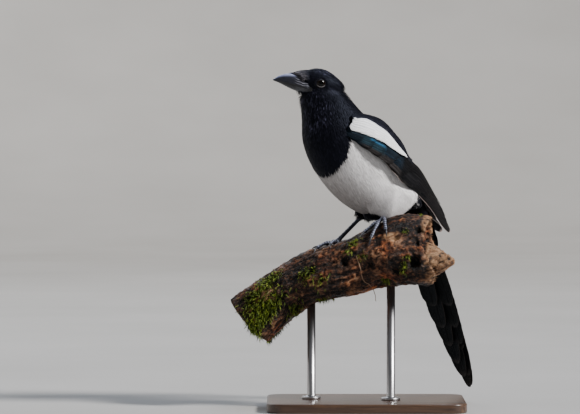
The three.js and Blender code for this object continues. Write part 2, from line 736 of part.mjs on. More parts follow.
// The place over the bark at a given x and a given angle round the branch.
function onBranch([x, degrees], lift) {
  const a = degrees * DEGREE;
  return branchPlace(shareWhere((t) => branchPlace(t, a, lift).x, x), a, lift);
}

function toePath(palm, to, radius, steps) {
  return Array.from({ length: steps + 1 }, (_, i) => {
    const t = i / steps;
    const spot = [mix(palm[0], to[0], t), mix(palm[1], to[1], t)];
    return onBranch(spot, GAP + radius * mix(1.15, 0.9, t) + 0.9 * Math.sin(Math.PI * t));
  });
}

// The foot: a ball over the bark and four toes, made larger by extra to cut what meets it.
function foot({ palm, toes }, extra = 0) {
  const at = onBranch(palm, GAP + 2.9);
  const ball = new THREE.SphereGeometry(BALL_RADIUS + extra, 8, 6);
  const pieces = [solidOf(ball, new THREE.Matrix4().makeTranslation(at.x, at.y, at.z))];
  for (const { to } of toes) {
    const steps = 6;
    const radii = Array.from({ length: steps + 1 }, (_, i) => {
      const joint = 1 + 0.13 * Math.cos((i * 2 * Math.PI) / 3);
      return TOE_RADIUS * mix(1.12, 0.86, i / steps) * joint;
    });
    pieces.push(solidOf(tube(toePath(palm, to, TOE_RADIUS, steps), radii, 6, extra)));
  }
  return joined(pieces);
}

// A claw goes on from the toe's end in a curve whose point rests on the bark.
function claw({ to, claw: tip }) {
  const steps = 4;
  const start = onBranch(to, GAP + TOE_RADIUS * 0.9);
  const last = onBranch(tip, GAP + 0.5);
  const high = onBranch([mix(to[0], tip[0], 0.45), mix(to[1], tip[1], 0.45)], 4.4);
  const curve = new THREE.QuadraticBezierCurve3(start, high, last);
  const points = Array.from({ length: steps + 1 }, (_, i) => curve.getPoint(i / steps));
  const radii = points.map((_, i) => mix(CLAW_RADIUS, 0.3, Math.pow(i / steps, 1.3)));
  return solidOf(tube(points, radii, 6));
}

function tarsus({ palm, heel }) {
  const low = onBranch(palm, GAP + 2.9);
  const high = vec(...heel).applyMatrix4(toPart);
  const points = Array.from({ length: 7 }, (_, i) => low.clone().lerp(high, i / 6));
  const radii = points.map((_, i) => TARSUS_RADIUS * (1 + 0.28 * Math.pow(Math.abs(i / 6 - 0.5) * 2, 3)));
  return solidOf(tube(points, radii, 8));
}

// The feathered thigh, from inside the flank to the heel, where the bare leg starts.
function thigh({ heel, knee, side }, extra = 0) {
  const rows = [
    { f: 1, y: 24, r: 13, lean: 35 },
    { f: 0.5, y: 25, r: 12, lean: 38 },
    { f: 0.13, y: 24, r: 8.6, lean: 42 },
    { f: -0.17, y: 23.3, r: 4, lean: 45 },
  ].map(({ f, y, r, lean }) => {
    const at = { x: heel[0] + f * knee[0], y: side * y, z: heel[2] + f * knee[1] };
    return { ...at, lean, half: r, back: r, belly: r };
  });
  return solidOf(ringBody(lengthened(loft(rows, 0, 1, 7, 12, extra), extra)));
}

// The stand

function standBase() {
  const [l, w, r] = [BASE_LENGTH / 2 - BASE_CHAMFER, BASE_WIDTH / 2 - BASE_CHAMFER, BASE_CORNER];
  const outline = new THREE.Shape();
  outline.moveTo(-l + r, -w);
  outline.lineTo(l - r, -w);
  outline.absarc(l - r, -w + r, r, -Math.PI / 2, 0);
  outline.absarc(l - r, w - r, r, 0, Math.PI / 2);
  outline.absarc(-l + r, w - r, r, Math.PI / 2, Math.PI);
  outline.absarc(-l + r, -w + r, r, Math.PI, 1.5 * Math.PI);
  const block = new THREE.ExtrudeGeometry(outline, {
    depth: BASE_HEIGHT - 2 * BASE_CHAMFER,
    bevelEnabled: true,
    bevelSize: BASE_CHAMFER,
    bevelThickness: BASE_CHAMFER,
    bevelSegments: 1,
    curveSegments: 5,
  });
  return solidOf(block, new THREE.Matrix4().makeTranslation(0, 0, BASE_CHAMFER));
}

function rod(x, bark) {
  const foot = BASE_HEIGHT + GAP;
  const { y, z } = rowAtX(BRANCH, x);
  const profile = [
    [0, foot],
    [ROD_FOOT_RADIUS, foot],
    [ROD_FOOT_RADIUS, foot + ROD_FOOT_HEIGHT],
    [ROD_RADIUS, foot + ROD_FOOT_HEIGHT + 1],
    [ROD_RADIUS, z - 5],
    [0, z - 5],
  ].map(([r, h]) => new THREE.Vector2(r, h));
  const upright = new THREE.Matrix4().makeTranslation(x, y, 0);
  upright.multiply(new THREE.Matrix4().makeRotationX(Math.PI / 2));
  return largestBelow(cut(solidOf(new THREE.LatheGeometry(profile, 20), upright), bark));
}

// Of what a cut leaves, the piece that stands lowest.
function largestBelow(solid) {
  return solid.decompose().reduce((a, b) => (b.boundingBox().min[2] < a.boundingBox().min[2] ? b : a));
}

// Assembly

const bird = new THREE.Group();
bird.rotation.z = BODY_TURN * DEGREE;
bird.updateMatrix();
const toPart = bird.matrix.clone();
const toBird = toPart.clone().invert();
const mirror = new THREE.Matrix4().makeScale(1, -1, 1);

const bark = branchSolid(0);
const barkClear = branchSolid(CLEAR);
const barkInBird = moved(barkClear, toBird);

const head = new THREE.Group();
const { head: headSolid, inflated: headClear } = headParts();
head.applyMatrix4(headMatrix());
head.add(
  node("head", headSolid, "black_plumage"),
  node("bill_upper", mandible(true), "bill_horn"),
  node("bill_lower", mandible(false), "bill_horn"),
  node("eye_left", eyeBall(1, 0), "eye"),
  node("eye_right", eyeBall(-1, 0), "eye"),
);
bird.add(head);

const trunkFull = solidOf(ringBody(trunkRings()));
const wholeTrunk = (extra) => [...trunkRings(extra), ...neckRings(extra).slice(1)];
const trunkRoom = (extra) => solidOf(ringBody(lengthened(wholeTrunk(extra), extra)));
const trunkClear = trunkRoom(CLEAR);
const headTools = [headClear, mandible(true, NECK_CLEAR), mandible(false, NECK_CLEAR)].map((tool) =>
  moved(tool, headMatrix()),
);
const neckRows = neckRings();
const neckAhead = frameOf(rowAt(TRUNK, NECK_FROM).lean, rowAt(TRUNK, NECK_FROM).turn).ahead;
neckRows[0] = neckRows[0].map((p) => p.clone().addScaledVector(neckAhead, GAP));
bird.add(node("neck", cut(solidOf(ringBody(neckRows)), ...headTools), "black_plumage"));

// The trunk is parted by thin cuts into a black breast, a black back and a white belly.
function bib(radius) {
  const ball = new THREE.SphereGeometry(radius, 26, 16);
  return solidOf(ball, new THREE.Matrix4().makeTranslation(...BIB_AT));
}

function backSide(gap) {
  const size = 400;
  const [, , z] = BACK_LINE.through;
  const aim = new THREE.Matrix4().makeRotationY(-BACK_LINE.lean * DEGREE);
  const middle = vec(0, 0, size / 2 + gap).applyMatrix4(aim);
  return solidOf(new THREE.BoxGeometry(size, size, size), aim.setPosition(middle.x, middle.y, middle.z + z));
}

const torso = cut(trunkFull, barkInBird);
bird.add(
  node("breast", torso.intersect(bib(BIB_RADIUS - GAP)), "black_plumage"),
  node("back", cut(torso.intersect(backSide(GAP)), bib(BIB_RADIUS)), "black_plumage"),
  node("belly", cut(torso, bib(BIB_RADIUS), backSide(0)), "white_plumage"),
);

const wing = cut(joined([wingCore(), ...WING_TIERS.flatMap(tierVanes)]), trunkClear);
const wingRoom = joined([1, -1].map((side) => (side > 0 ? wingBlock() : moved(wingBlock(), mirror))));
const shoulder = cut(scapular(), trunkClear);
bird.add(node("wing_left", wing, "wing_gloss"));
bird.add(node("wing_right", moved(wing, mirror), "wing_gloss"));
bird.add(node("scapular_left", shoulder, "white_plumage"));
bird.add(node("scapular_right", moved(shoulder, mirror), "white_plumage"));

const tail = joined([tailRoot(), ...tailVanes(), ...tailCoverts(true), ...tailCoverts(false)]);
bird.add(node("tail", cut(tail, trunkRoom(2 * CLEAR)), "tail_gloss"));

const legs = new THREE.Group();
const trunkInPart = moved(trunkClear, toPart);
for (const [name, limb] of Object.entries(FEET)) {
  const footClear = foot(limb, CLEAR);
  const shin = cut(tarsus(limb), trunkInPart, barkClear, footClear, moved(thigh(limb, CLEAR), toPart));
  const feathered = cut(thigh(limb), trunkRoom(2 * CLEAR), barkInBird, wingRoom);
  bird.add(node(`thigh_${name}`, feathered, "black_plumage"));
  legs.add(node(`tarsus_${name}`, shin, "leg_scale"));
  legs.add(node(`foot_${name}`, cut(foot(limb), barkClear), "leg_scale"));
  limb.toes.forEach((toe, k) => {
    legs.add(node(`claw_${name}_${k + 1}`, cut(claw(toe), barkClear, footClear), "bill_horn"));
  });
}

const stand = new THREE.Group();
stand.add(node("stand_base", standBase(), "base_wood"));
ROD_X.forEach((x, k) => stand.add(node(`stand_rod_${k + 1}`, rod(x, barkClear), "rod_metal")));
stand.add(node("perch", bark, "bark"));

const magpie = new THREE.Group();
magpie.add(bird, legs, stand);

export default magpie;
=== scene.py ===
"""The looks of a life-size eurasian magpie on its cut length of branch and display stand.

Sizes are millimetres. The bird's own frame is x ahead, y to its left and z up. It is turned about z into the
part's frame. Each shape is a dict: points, faces (arrays of triangles or quads) and what its points carry.
"""

import itertools
import math

import bpy
import numpy as np
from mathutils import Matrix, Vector
from mathutils.bvhtree import BVHTree


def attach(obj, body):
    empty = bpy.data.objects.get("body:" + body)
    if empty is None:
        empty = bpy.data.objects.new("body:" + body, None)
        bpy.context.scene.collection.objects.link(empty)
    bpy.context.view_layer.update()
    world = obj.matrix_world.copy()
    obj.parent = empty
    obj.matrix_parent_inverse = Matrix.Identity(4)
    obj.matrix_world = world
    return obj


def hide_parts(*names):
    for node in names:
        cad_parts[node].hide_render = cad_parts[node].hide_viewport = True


MM = 0.001

# Where the bird and its head are, as in the solids
BODY_TURN = 216
HEAD_AT = np.array([61.5, 0, 344.7])
HEAD_TURN = -30
HEAD_LIFT = 8

# Sections of the trunk and neck: x, z, lean, turn, half width, back, belly
TRUNK = [
    (-67, 216, 52, 0, 9, 8, 8),
    (-60, 219, 48, 0, 19, 17, 18),
    (-46, 225, 43, 0, 28, 26, 29),
    (-26, 236, 40, 0, 35.5, 35, 41),
    (-4, 252, 39, 0, 39.5, 40, 46.5),
    (17, 269, 42, 0, 40, 41, 46),
    (33, 285, 50, 0, 37.5, 39.5, 42.5),
    (42, 299, 62, -2, 33.5, 35, 39),
    (46, 313, 74, -6, 29, 29.5, 34.5),
    (51, 325, 80, -13, 25, 25, 30.5),
    (56, 335, 84, -21, 21.5, 21.5, 26),
    (59, 343, 88, -28, 14, 16, 16),
]
NECK_FROM = 0.66
# Sections of the head in its own frame, in the same columns
HEAD = [
    (-26, -3, 0, 0, 3, 3, 3),
    (-23.5, -2.5, 0, 0, 9, 6.5, 8),
    (-19, -2, 0, 0, 12.8, 10, 12),
    (-13, -1.5, 0, 0, 15.4, 13.5, 15),
    (-7, -1, 0, 0, 16.8, 15.9, 16.5),
    (0, -1, 0, 0, 16.8, 17.4, 16.5),
    (7, -1, 0, 0, 15.6, 17, 15.4),
    (13, -1.2, 0, 0, 12.8, 15.1, 13.6),
    (19, -1.5, -6, 0, 10, 12.9, 11.7),
    (25, -1.8, -14, 0, 7.9, 10.9, 9.2),
    (30, -2, -20, 0, 6.8, 9.2, 6.9),
]
BODY_COAT_DEPTH = 2.0
HEAD_COAT_DEPTH = 1.1
THIGH_COAT_DEPTH = 1.0
SKIN_VOXEL = 1.5

# Markings: feathers are black if they root in the bib's ball, above the back's plane, on the neck, at the
# vent or by a heel
BIB_AT = np.array([75, 0, 290])
BIB_RADIUS = 42
BACK_HEIGHT = 265
BACK_LEAN = 29
VENT_X = -38
LAP_AT = np.array([-17, -7, 203])
LAP_REACH = np.array([18, 22, 8])
HEELS = {"left": np.array([-49.5, 23, 217]), "right": np.array([-17, -22, 208])}
HEEL_BLACK = 15
BLACK = np.array([0.004, 0.004, 0.0066])
WHITE = np.array([0.86, 0.84, 0.845])
# The painted shade low on the front of the belly, as a share of the white
PAINTED_BELLY_SHADE = np.array([0.31, 0.285, 0.27])

# Sections of the bill in the head's frame: x, half width, ridge, edge between the mandibles, keel
BILL = [
    (8, 13, 2, -8.1, -12),
    (14, 12, 4.6, -7.1, -12.3),
    (20, 9.9, 6.1, -6.2, -11.8),
    (26, 7.5, 6.8, -5.4, -10.5),
    (32, 5.9, 6.4, -4.6, -8.8),
    (38, 4.5, 4.9, -4, -6.8),
    (43, 3.1, 2.6, -3.6, -5.2),
    (47, 1.6, -0.6, -3.3, -4.1),
    (49.2, 0.4, -2.5, -3.1, -3.5),
]
LOWER_BILL_END = 0.93
BILL_ROOT = np.array([24, 0, -4])

EYE_RADIUS = 5.6
EYE_SIDE = 11.4
EYE_OPENING = (4.35, 3.55)
SOCKET_REACH = (5.0, 4.4)
BARE_REACH = (5.6, 4.9)
SOCKET_SIDE = 12.5
HEAD_AXIS = np.array([0, 0, -2])

# The folded wing's outer face, shoulder to tip: low, middle and high edge, each x, y, z
WING = [
    (52, 30, 291, 46, 33, 301, 37, 30, 309),
    (24, 44, 272, 15, 41.5, 289, 2, 25, 303),
    (-1.6, 45, 256, -12, 41, 272, -21, 23, 286),
    (-21, 41, 240, -31, 36, 256, -41, 18, 270),
    (-40, 35, 229, -51, 30, 243, -60, 12, 257),
    (-69, 23, 212, -76, 20, 221, -81, 10, 230),
    (-92, 14, 194, -95.5, 13, 200, -98.5, 9, 208),
    (-110, 8, 184, -110.3, 8, 184.6, -110.6, 8, 185.2),
]
WING_ROLL = math.radians(10)
WING_CORE_END = 0.82

# Tiers of the wing, lowest layer first: vanes, first and last root and tip (shares of length and height),
# first and last width, depth of the root, first and last height of the tip, and the roundness of the tip
WING_TIERS = {
    "primaries": dict(count=9, roots=((0.48, 0.1), (0.46, 0.62)), tips=((0.985, 0.24), (0.84, 0.86)),
        width=(9.5, 11.5), sunk=-2.2, raised=(-1.4, 0.1), tip=0.8, edge=0.3, bright=True),
    "secondaries": dict(count=8, roots=((0.36, 0.12), (0.36, 0.88)), tips=((0.6, 0.12), (0.79, 0.92)),
        width=(10.5, 12.5), sunk=-2.2, raised=(-0.3, 0.5), tip=0.72, edge=0.22),
    "primary_coverts": dict(count=4, roots=((0.28, 0.05), (0.3, 0.32)), tips=((0.54, 0.05), (0.54, 0.34)),
        width=(8.5, 9.5), sunk=-2, raised=(0.1, 0.4), tip=0.66, edge=0.3),
    "alula": dict(count=3, roots=((0.24, 0.02), (0.29, 0.1)), tips=((0.43, 0.0), (0.5, 0.09)),
        width=(7.5, 8), sunk=-2, raised=(0.35, 0.65), tip=0.7, edge=0.4, bright=True),
    "greater": dict(count=9, roots=((0.2, 0.1), (0.18, 0.62)), tips=((0.375, 0.07), (0.47, 0.66)),
        width=(9.5, 11), sunk=-2.2, raised=(0.6, 0.9), tip=0.6, edge=0.1),
    "median": dict(count=9, roots=((0.11, 0.08), (0.1, 0.52)), tips=((0.26, 0.06), (0.3, 0.52)),
        width=(8.5, 9.5), sunk=-2.2, raised=(1.0, 1.2), tip=0.5, edge=0.1),
    "lesser_low": dict(count=9, roots=((0.06, 0.08), (0.05, 0.5)), tips=((0.185, 0.06), (0.2, 0.5)),
        width=(7.5, 8), sunk=-2.2, raised=(1.2, 1.4), tip=0.45, edge=0.05),
    "lesser_middle": dict(count=8, roots=((0.02, 0.12), (0.01, 0.5)), tips=((0.13, 0.1), (0.14, 0.48)),
        width=(7, 7.5), sunk=-2.2, raised=(1.4, 1.6), tip=0.45, edge=0.05),
    "lesser_high": dict(count=7, roots=((-0.02, 0.16), (-0.02, 0.5)), tips=((0.085, 0.14), (0.09, 0.46)),
        width=(6.5, 7), sunk=-2.0, raised=(1.6, 1.8), tip=0.45, edge=0.05),
}
# The white shoulder feathers' low and high edges as shares of the wing's height, by share of its length
WHITE_EDGES = [
    (-0.03, 0.5, 0.75),
    (0.0, 0.43, 0.88),
    (0.03, 0.39, 0.95),
    (0.06, 0.4, 0.93),
    (0.1, 0.39, 0.84),
    (0.13, 0.38, 0.77),
    (0.17, 0.39, 0.75),
    (0.21, 0.38, 0.69),
    (0.26, 0.41, 0.6),
    (0.3, 0.46, 0.57),
    (0.345, 0.57, 0.59),
]
WHITE_END = 0.335
SHOULDER_END = 0.5
# How far the wing's frame goes on ahead of its first section
WING_LEAD = np.array([105, -63, 49])

TAIL_AT = np.array([-59.3, 0, 220])
TAIL_TIP = np.array([-137, 0, 18.4])
TAIL_TWIST = 8
# The tail's feathers from the middle pair outwards, 1 for those of the bird's left
TAIL_LENGTHS = {1: (218, 206, 175, 168, 148, 122), -1: (220, 207, 191, 170, 148, 122)}
TAIL_OFFSET = (1, 2.1)
TAIL_WIDTHS = (22, 25)
TAIL_LAYER = 0.95

# The branch's middle line and radius, in the part's frame
BRANCH = [
    (-123, 17, 92, 29),
    (-97, 12, 115.5, 26),
    (-70, 6.5, 133.5, 25.5),
    (-41, 0.5, 143.5, 28.5),
    (-14, -5, 151, 29),
    (10, -10, 160.5, 30.5),
    (36, -15.5, 167, 35),
    (62, -20.5, 169.5, 36),
]
BRANCH_LENGTH = 205
# The broken end: how far it reaches every 18 degrees, and its rings as share of that, rise and depth
BREAK_REACH = (9, 10, 7, 4, 0, 2, 6, 11, 12, 8, 6, 5, 3, 4, 6, 5, 2, 3, 5, 7)
BREAK_RINGS = (
    (0.5, -0.6, 0),
    (1.0, -2.4, 0),
    (0.95, -5.0, 0),
    (0.5, -8.0, 4),
    (0.1, -14.0, 4),
    (-0.3, -24.0, 4),
)
PRONG = [
    (40, -14, 156, 21),
    (66, -22, 158, 17),
    (82, -26, 158, 9),
    (91.5, -28, 156.5, 2),
]
BARK_VOXEL = 1.15
BARK_SAMPLES = 220

# Feet: x in the part's frame and the angle round the branch from its top towards the front; each toe has the
# place of its end and that of its claw's tip
FEET = {
    "left": dict(side=1, palm=(18, 3), knee=(30, 20), toes=(
        ((-2, 22), (-6, 38)), ((5, 50), (1.5, 68)), ((20, 42), (21, 58)), ((31, -30), (36, -46)))),
    "right": dict(side=-1, palm=(-31, -10), knee=(8, 26), toes=(
        ((-38, 20), (-38, 37)), ((-52, 12), (-56, 32)), ((-51, -20), (-58, -13)), ((-15, -34), (-10, -50)))),
}
GAP = 0.3
PALM_LIFT = GAP + 2.9
TARSUS_RADIUS = 2.2
TOE_RADIUS = 1.9
BALL_RADIUS = 3.3
CLAW_RADIUS = 1.3

# The stand
BASE_LENGTH = 210
BASE_WIDTH = 140
BASE_HEIGHT = 10
BASE_CORNER = 18
BASE_ROUNDING = 1.5
ROD_X = (-58, 26)
ROD_RADIUS = 4.5
ROD_FOOT_RADIUS = 10
ROD_FOOT_HEIGHT = 3


# Small helpers


def mix(a, b, t):
    return a + (b - a) * t


def ease(t):
    t = np.clip(t, 0, 1)
    return t * t * (3 - 2 * t)


def step(low, high, x):
    """0 below low, 1 above high, smooth between."""
    return ease((x - low) / (high - low))


def bump(low, high, x, soft):
    """1 from low to high, fading over soft on both sides."""
    return step(low - soft, low, x) * (1 - step(high, high + soft, x))


def unit(v):
    return v / np.maximum(np.linalg.norm(v, axis=-1, keepdims=True), 1e-9)


def dot(a, b):
    return (a * b).sum(-1, keepdims=True)


def shares(count):
    """Even steps from 0 to 1, both ends among them."""
    return np.linspace(0, 1, count)


def circle(count):
    """Angles all round, the first one not repeated."""
    return np.linspace(0, 2 * np.pi, count, endpoint=False)


def inset(spots):
    """Places of the unwrap, kept off its border."""
    return spots * 0.98 + 0.01


def turn_z(degrees):
    c, s = math.cos(math.radians(degrees)), math.sin(math.radians(degrees))
    return np.array([[c, -s, 0], [s, c, 0], [0, 0, 1]])


def turn_y(degrees):
    c, s = math.cos(math.radians(degrees)), math.sin(math.radians(degrees))
    return np.array([[c, 0, s], [0, 1, 0], [-s, 0, c]])


TO_PART = turn_z(BODY_TURN)
HEAD_TURNED = turn_z(HEAD_TURN) @ turn_y(-HEAD_LIFT)
MIRROR = np.array([1, -1, 1])


def to_part(p):
    return p @ TO_PART.T


def to_bird(p):
    return p @ TO_PART


def head_to_bird(p):
    return p @ HEAD_TURNED.T + HEAD_AT


def bird_to_head(p):
    return (p - HEAD_AT) @ HEAD_TURNED


def curve(rows, t):
    """Rows of a table at shares t of its length, on a smooth curve through them."""
    rows = np.asarray(rows, float)
    place = np.clip(np.atleast_1d(t), 0, 1) * (len(rows) - 1)
    i = np.minimum(place.astype(int), len(rows) - 2)
    f = (place - i)[:, None]
    a, b, c, d = (rows[np.clip(i + k, 0, len(rows) - 1)] for k in (-1, 0, 1, 2))
    return b + 0.5 * f * (c - a + f * (2 * a - 5 * b + 4 * c - d + f * (3 * (b - c) + d - a)))


def noise(points, size, seed=0):
    """Smooth noise from -1 to 1, in lumps of the given size."""
    p = np.atleast_2d(points) / size
    cell = np.floor(p).astype(np.int64)
    f = ease(p - cell)
    total = np.zeros(len(p))
    for corner in itertools.product((0, 1), repeat=p.shape[1]):
        n = cell + np.array(corner)
        h = (n * np.array([374761393, 668265263, 1103515245])[: p.shape[1]]).sum(1) + seed * 974711
        h = ((h ^ (h >> 13)) * 1274126177) & 0x7FFFFFFF
        h = (h ^ (h >> 16)) / 0x3FFFFFFF - 1
        total += h * np.prod(np.where(corner, f, 1 - f), axis=1)
    return total


# Shapes and meshes


def grid_faces(rows, columns, wrap=False):
    i, j = np.meshgrid(np.arange(rows - 1), np.arange(columns if wrap else columns - 1), indexing="ij")
    a, b = i * columns + j, i * columns + (j + 1) % columns
    return np.stack([a, b, b + columns, a + columns], -1).reshape(-1, 4)


def volume(points, faces):
    total = 0.0
    for f in faces:
        for k in range(1, f.shape[1] - 1):
            total += (points[f[:, 0]] * np.cross(points[f[:, k]], points[f[:, k + 1]])).sum()
    return total


def shape(points, faces, **carried):
    """A shape whose faces look outwards."""
    if volume(points, faces) < 0:
        faces = [f[:, ::-1] for f in faces]
    return dict(points=points, faces=faces, **carried)


def ringed(rings, **carried):
    """A closed body through rings of points, each end closed by a fan."""
    rows, sides = rings.shape[:2]
    points = np.concatenate([rings.reshape(-1, 3), rings[[0, -1]].mean(1)])
    j = np.arange(sides)
    k = (j + 1) % sides
    start = np.stack([k, j, np.full(sides, rows * sides)], 1)
    last = (rows - 1) * sides
    end = np.stack([last + j, last + k, np.full(sides, rows * sides + 1)], 1)
    return shape(points, [grid_faces(rows, sides, wrap=True), start, end], **carried)


def plate(top, bottom, **carried):
    """A thin closed body between two facing grids of points."""
    rows, columns = top.shape[:2]
    count = rows * columns
    face = grid_faces(rows, columns)
    rim = np.concatenate([
        np.arange(columns),
        np.arange(1, rows) * columns + columns - 1,
        (rows - 1) * columns + np.arange(columns - 2, -1, -1),
        np.arange(rows - 2, 0, -1) * columns,
    ])
    after = np.roll(rim, -1)
    side = np.stack([after, rim, rim + count, after + count], 1)
    points = np.concatenate([top.reshape(-1, 3), bottom.reshape(-1, 3)])
    return shape(points, [face, face[:, ::-1] + count, side], **carried)


def mirrored(one):
    """A shape on the bird's other side."""
    made = dict(one)
    made["points"] = one["points"] * MIRROR
    made["faces"] = [f[:, ::-1] for f in one["faces"]]
    return made


def placed(one, change):
    made = dict(one)
    made["points"] = change(one["points"])
    return made


def joined(shapes):
    """One shape of several that carry the same things."""
    made = {key: np.concatenate([s[key] for s in shapes]) for key in shapes[0] if key != "faces"}
    faces = {3: [], 4: []}
    start = 0
    for s in shapes:
        for f in s["faces"]:
            faces[f.shape[1]].append(f + start)
        start += len(s["points"])
    made["faces"] = [np.concatenate(f) for f in faces.values() if f]
    return made


def mesh_of(name, one, scale=1.0):
    """A smooth mesh of a shape, and the point of each of its loops."""
    mesh = bpy.data.meshes.new(name)
    points = one["points"] * scale
    loops = np.concatenate([f.ravel() for f in one["faces"]])
    counts = np.concatenate([np.full(len(f), f.shape[1]) for f in one["faces"]])
    mesh.vertices.add(len(points))
    mesh.vertices.foreach_set("co", points.astype(np.float32).ravel())
    mesh.loops.add(len(loops))
    mesh.loops.foreach_set("vertex_index", loops.astype(np.int32))
    mesh.polygons.add(len(counts))
    mesh.polygons.foreach_set("loop_start", (np.cumsum(counts) - counts).astype(np.int32))
    mesh.update(calc_edges=True)
    mesh.polygons.foreach_set("use_smooth", np.ones(len(counts), bool))
    return mesh, loops


def linked(name, data):
    """A new object in the scene."""
    made = bpy.data.objects.new(name, data)
    bpy.context.scene.collection.objects.link(made)
    return made


def make(name, one, paint, replaced=()):
    """A finished piece from a shape in the part's frame."""
    mesh, loops = mesh_of(name, one, MM)
    for key, values in one.items():
        if key in ("points", "faces"):
            continue
        if key == "soft":
            mesh.normals_split_custom_set_from_vertices(values)
            continue
        if key == "uv":
            layer = mesh.uv_layers.new(name="OFBake")
            layer.data.foreach_set("uv", values[loops].astype(np.float32).ravel())
        elif values.ndim == 2:
            attribute = mesh.attributes.new(key, "FLOAT_COLOR", "POINT")
            colour = np.concatenate([values, np.ones((len(values), 1))], 1)
            attribute.data.foreach_set("color", colour.astype(np.float32).ravel())
        else:
            attribute = mesh.attributes.new(key, "FLOAT", "POINT")
            attribute.data.foreach_set("value", values.astype(np.float32))
    mesh.materials.append(paint)
    piece = linked(name, mesh)
    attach(piece, "root")
    if replaced:
        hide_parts(*replaced)


def fused(shapes, voxel, smoothing):
    """One closed mesh round several overlapping bodies: its points, quads and normals."""
    body = joined([dict(points=s["points"], faces=s["faces"]) for s in shapes])
    mesh, _ = mesh_of("fusing", body)
    piece = linked("fusing", mesh)
    remesh = piece.modifiers.new("remesh", "REMESH")
    remesh.mode = "VOXEL"
    remesh.voxel_size = voxel
    smooth = piece.modifiers.new("smooth", "SMOOTH")
    smooth.factor = 0.5
    smooth.iterations = smoothing
    made = bpy.data.meshes.new_from_object(piece.evaluated_get(bpy.context.evaluated_depsgraph_get()))
    bpy.data.objects.remove(piece)
    points = np.empty(len(made.vertices) * 3)
    made.vertices.foreach_get("co", points)
    normals = np.empty(len(made.vertices) * 3)
    made.vertices.foreach_get("normal", normals)
    quads = np.array([tuple(f.vertices) for f in made.polygons if len(f.vertices) == 4])
    bpy.data.meshes.remove(made)
    return points.reshape(-1, 3), quads, normals.reshape(-1, 3)


# Paint


class Paint:
    """A material, with short ways to add and join its nodes."""

    def __init__(self, name, **values):
        self.material = bpy.data.materials.new(name)
        self.material.use_nodes = True
        self.tree = self.material.node_tree
        self.shader = self.tree.nodes["Principled BSDF"]
        for key, value in values.items():
            self.shader.inputs[key.replace("_", " ")].default_value = value

    def node(self, kind, inputs=(), **settings):
        made = self.tree.nodes.new("ShaderNode" + kind)
        for key, value in settings.items():
            setattr(made, key, value)
        for key, value in dict(inputs).items():
            self.put(value, made.inputs[key])
        return made

    def put(self, value, socket):
        if isinstance(value, bpy.types.NodeSocket):
            self.tree.links.new(value, socket)
        else:
            socket.default_value = value

    def carried(self, name, output="Fac"):
        return self.node("Attribute", attribute_name=name).outputs[output]

    def place(self, stretch=(1, 1, 1)):
        """The place in metres, stretched."""
        source = self.node("TexCoord").outputs["Object"]
        return self.node("Mapping", {"Vector": source, "Scale": stretch}).outputs["Vector"]

    def noise(self, scale, stretch=(1, 1, 1), detail=4.0, rough=0.55, warp=0.0):
        inputs = {"Vector": self.place(stretch), "Scale": scale, "Detail": detail, "Roughness": rough,
                  "Distortion": warp}
        return self.node("TexNoise", inputs).outputs["Fac"]

    def maths(self, operation, a, b=0.5, clamp=False):
        made = self.node("Math", operation=operation, use_clamp=clamp)
        self.put(a, made.inputs[0])
        self.put(b, made.inputs[1])
        return made.outputs[0]

    def spread(self, value, low, high):
        """A value from 0 to 1 laid over another range."""
        return self.node("MapRange", {"Value": value, "To Min": low, "To Max": high}).outputs["Result"]

    def ramp(self, value, stops):
        made = self.node("ValToRGB", {"Fac": value})
        elements = made.color_ramp.elements
        while len(elements) < len(stops):
            elements.new(0.5)
        for element, (place, colour) in zip(elements, stops):
            element.position = place
            element.color = (*colour, 1)
        return made.outputs["Color"]

    def blend(self, share, a, b, kind="MIX"):
        made = self.node("Mix", data_type="RGBA", blend_type=kind)
        self.put(share, made.inputs["Factor"])
        for value, socket in ((a, made.inputs[6]), (b, made.inputs[7])):
            self.put((*value, 1) if isinstance(value, tuple) else value, socket)
        return made.outputs[2]

    def times(self, a, b):
        return self.blend(1.0, a, b, "MULTIPLY")

    def bands(self, along, scale, distortion, detail):
        """Bands that repeat along a value."""
        vector = self.node("CombineXYZ", {"X": along}).outputs[0]
        inputs = {"Vector": vector, "Scale": scale, "Distortion": distortion, "Detail": detail}
        return self.node("TexWave", inputs).outputs["Fac"]

    def colour(self, value):
        self.put(value, self.shader.inputs["Base Color"])

    def roughness(self, value):
        self.put(value, self.shader.inputs["Roughness"])

    def relief(self, height, distance, strength=1.0, under=None):
        """A bump, over another one if that is given."""
        made = self.node("Bump", {"Height": height, "Distance": distance, "Strength": strength})
        if under:
            self.put(under, made.inputs["Normal"])
        self.put(made.outputs["Normal"], self.shader.inputs["Normal"])
        return made.outputs["Normal"]


def plumage_paint(name, roughness, tint, **values):
    """Soft body feathers: the colour that each tuft carries, streaked finely."""
    paint = Paint(name, Specular_Tint=(*tint, 1), **values)
    streak = paint.noise(1100, (1, 1, 0.3), detail=2)
    shade = paint.spread(streak, 0.75, 1.25)
    paint.colour(paint.times(paint.carried("tint", "Color"), shade))
    paint.roughness(paint.spread(paint.noise(300, detail=2), roughness - 0.08, roughness + 0.08))
    paint.relief(streak, 0.0003, 0.5)
    return paint.material


def vane_paint(name, metallic, roughness, tint):
    """Flight feathers: gloss over fine slanting barbs."""
    paint = Paint(name, Metallic=metallic, Specular_IOR_Level=0.07, Specular_Tint=(*tint, 1))
    along = paint.carried("barb")
    inputs = {"W": along, "Scale": 1.6, "Detail": 3.0}
    streak = paint.node("TexNoise", inputs, noise_dimensions="1D").outputs["Fac"]
    paint.colour(paint.times(paint.carried("tint", "Color"), paint.spread(streak, 0.6, 1.4)))
    paint.roughness(paint.spread(streak, roughness - 0.1, roughness + 0.12))
    paint.relief(paint.bands(along, 0.9, 0.6, 1.0), 0.0001, 0.6)
    return paint.material


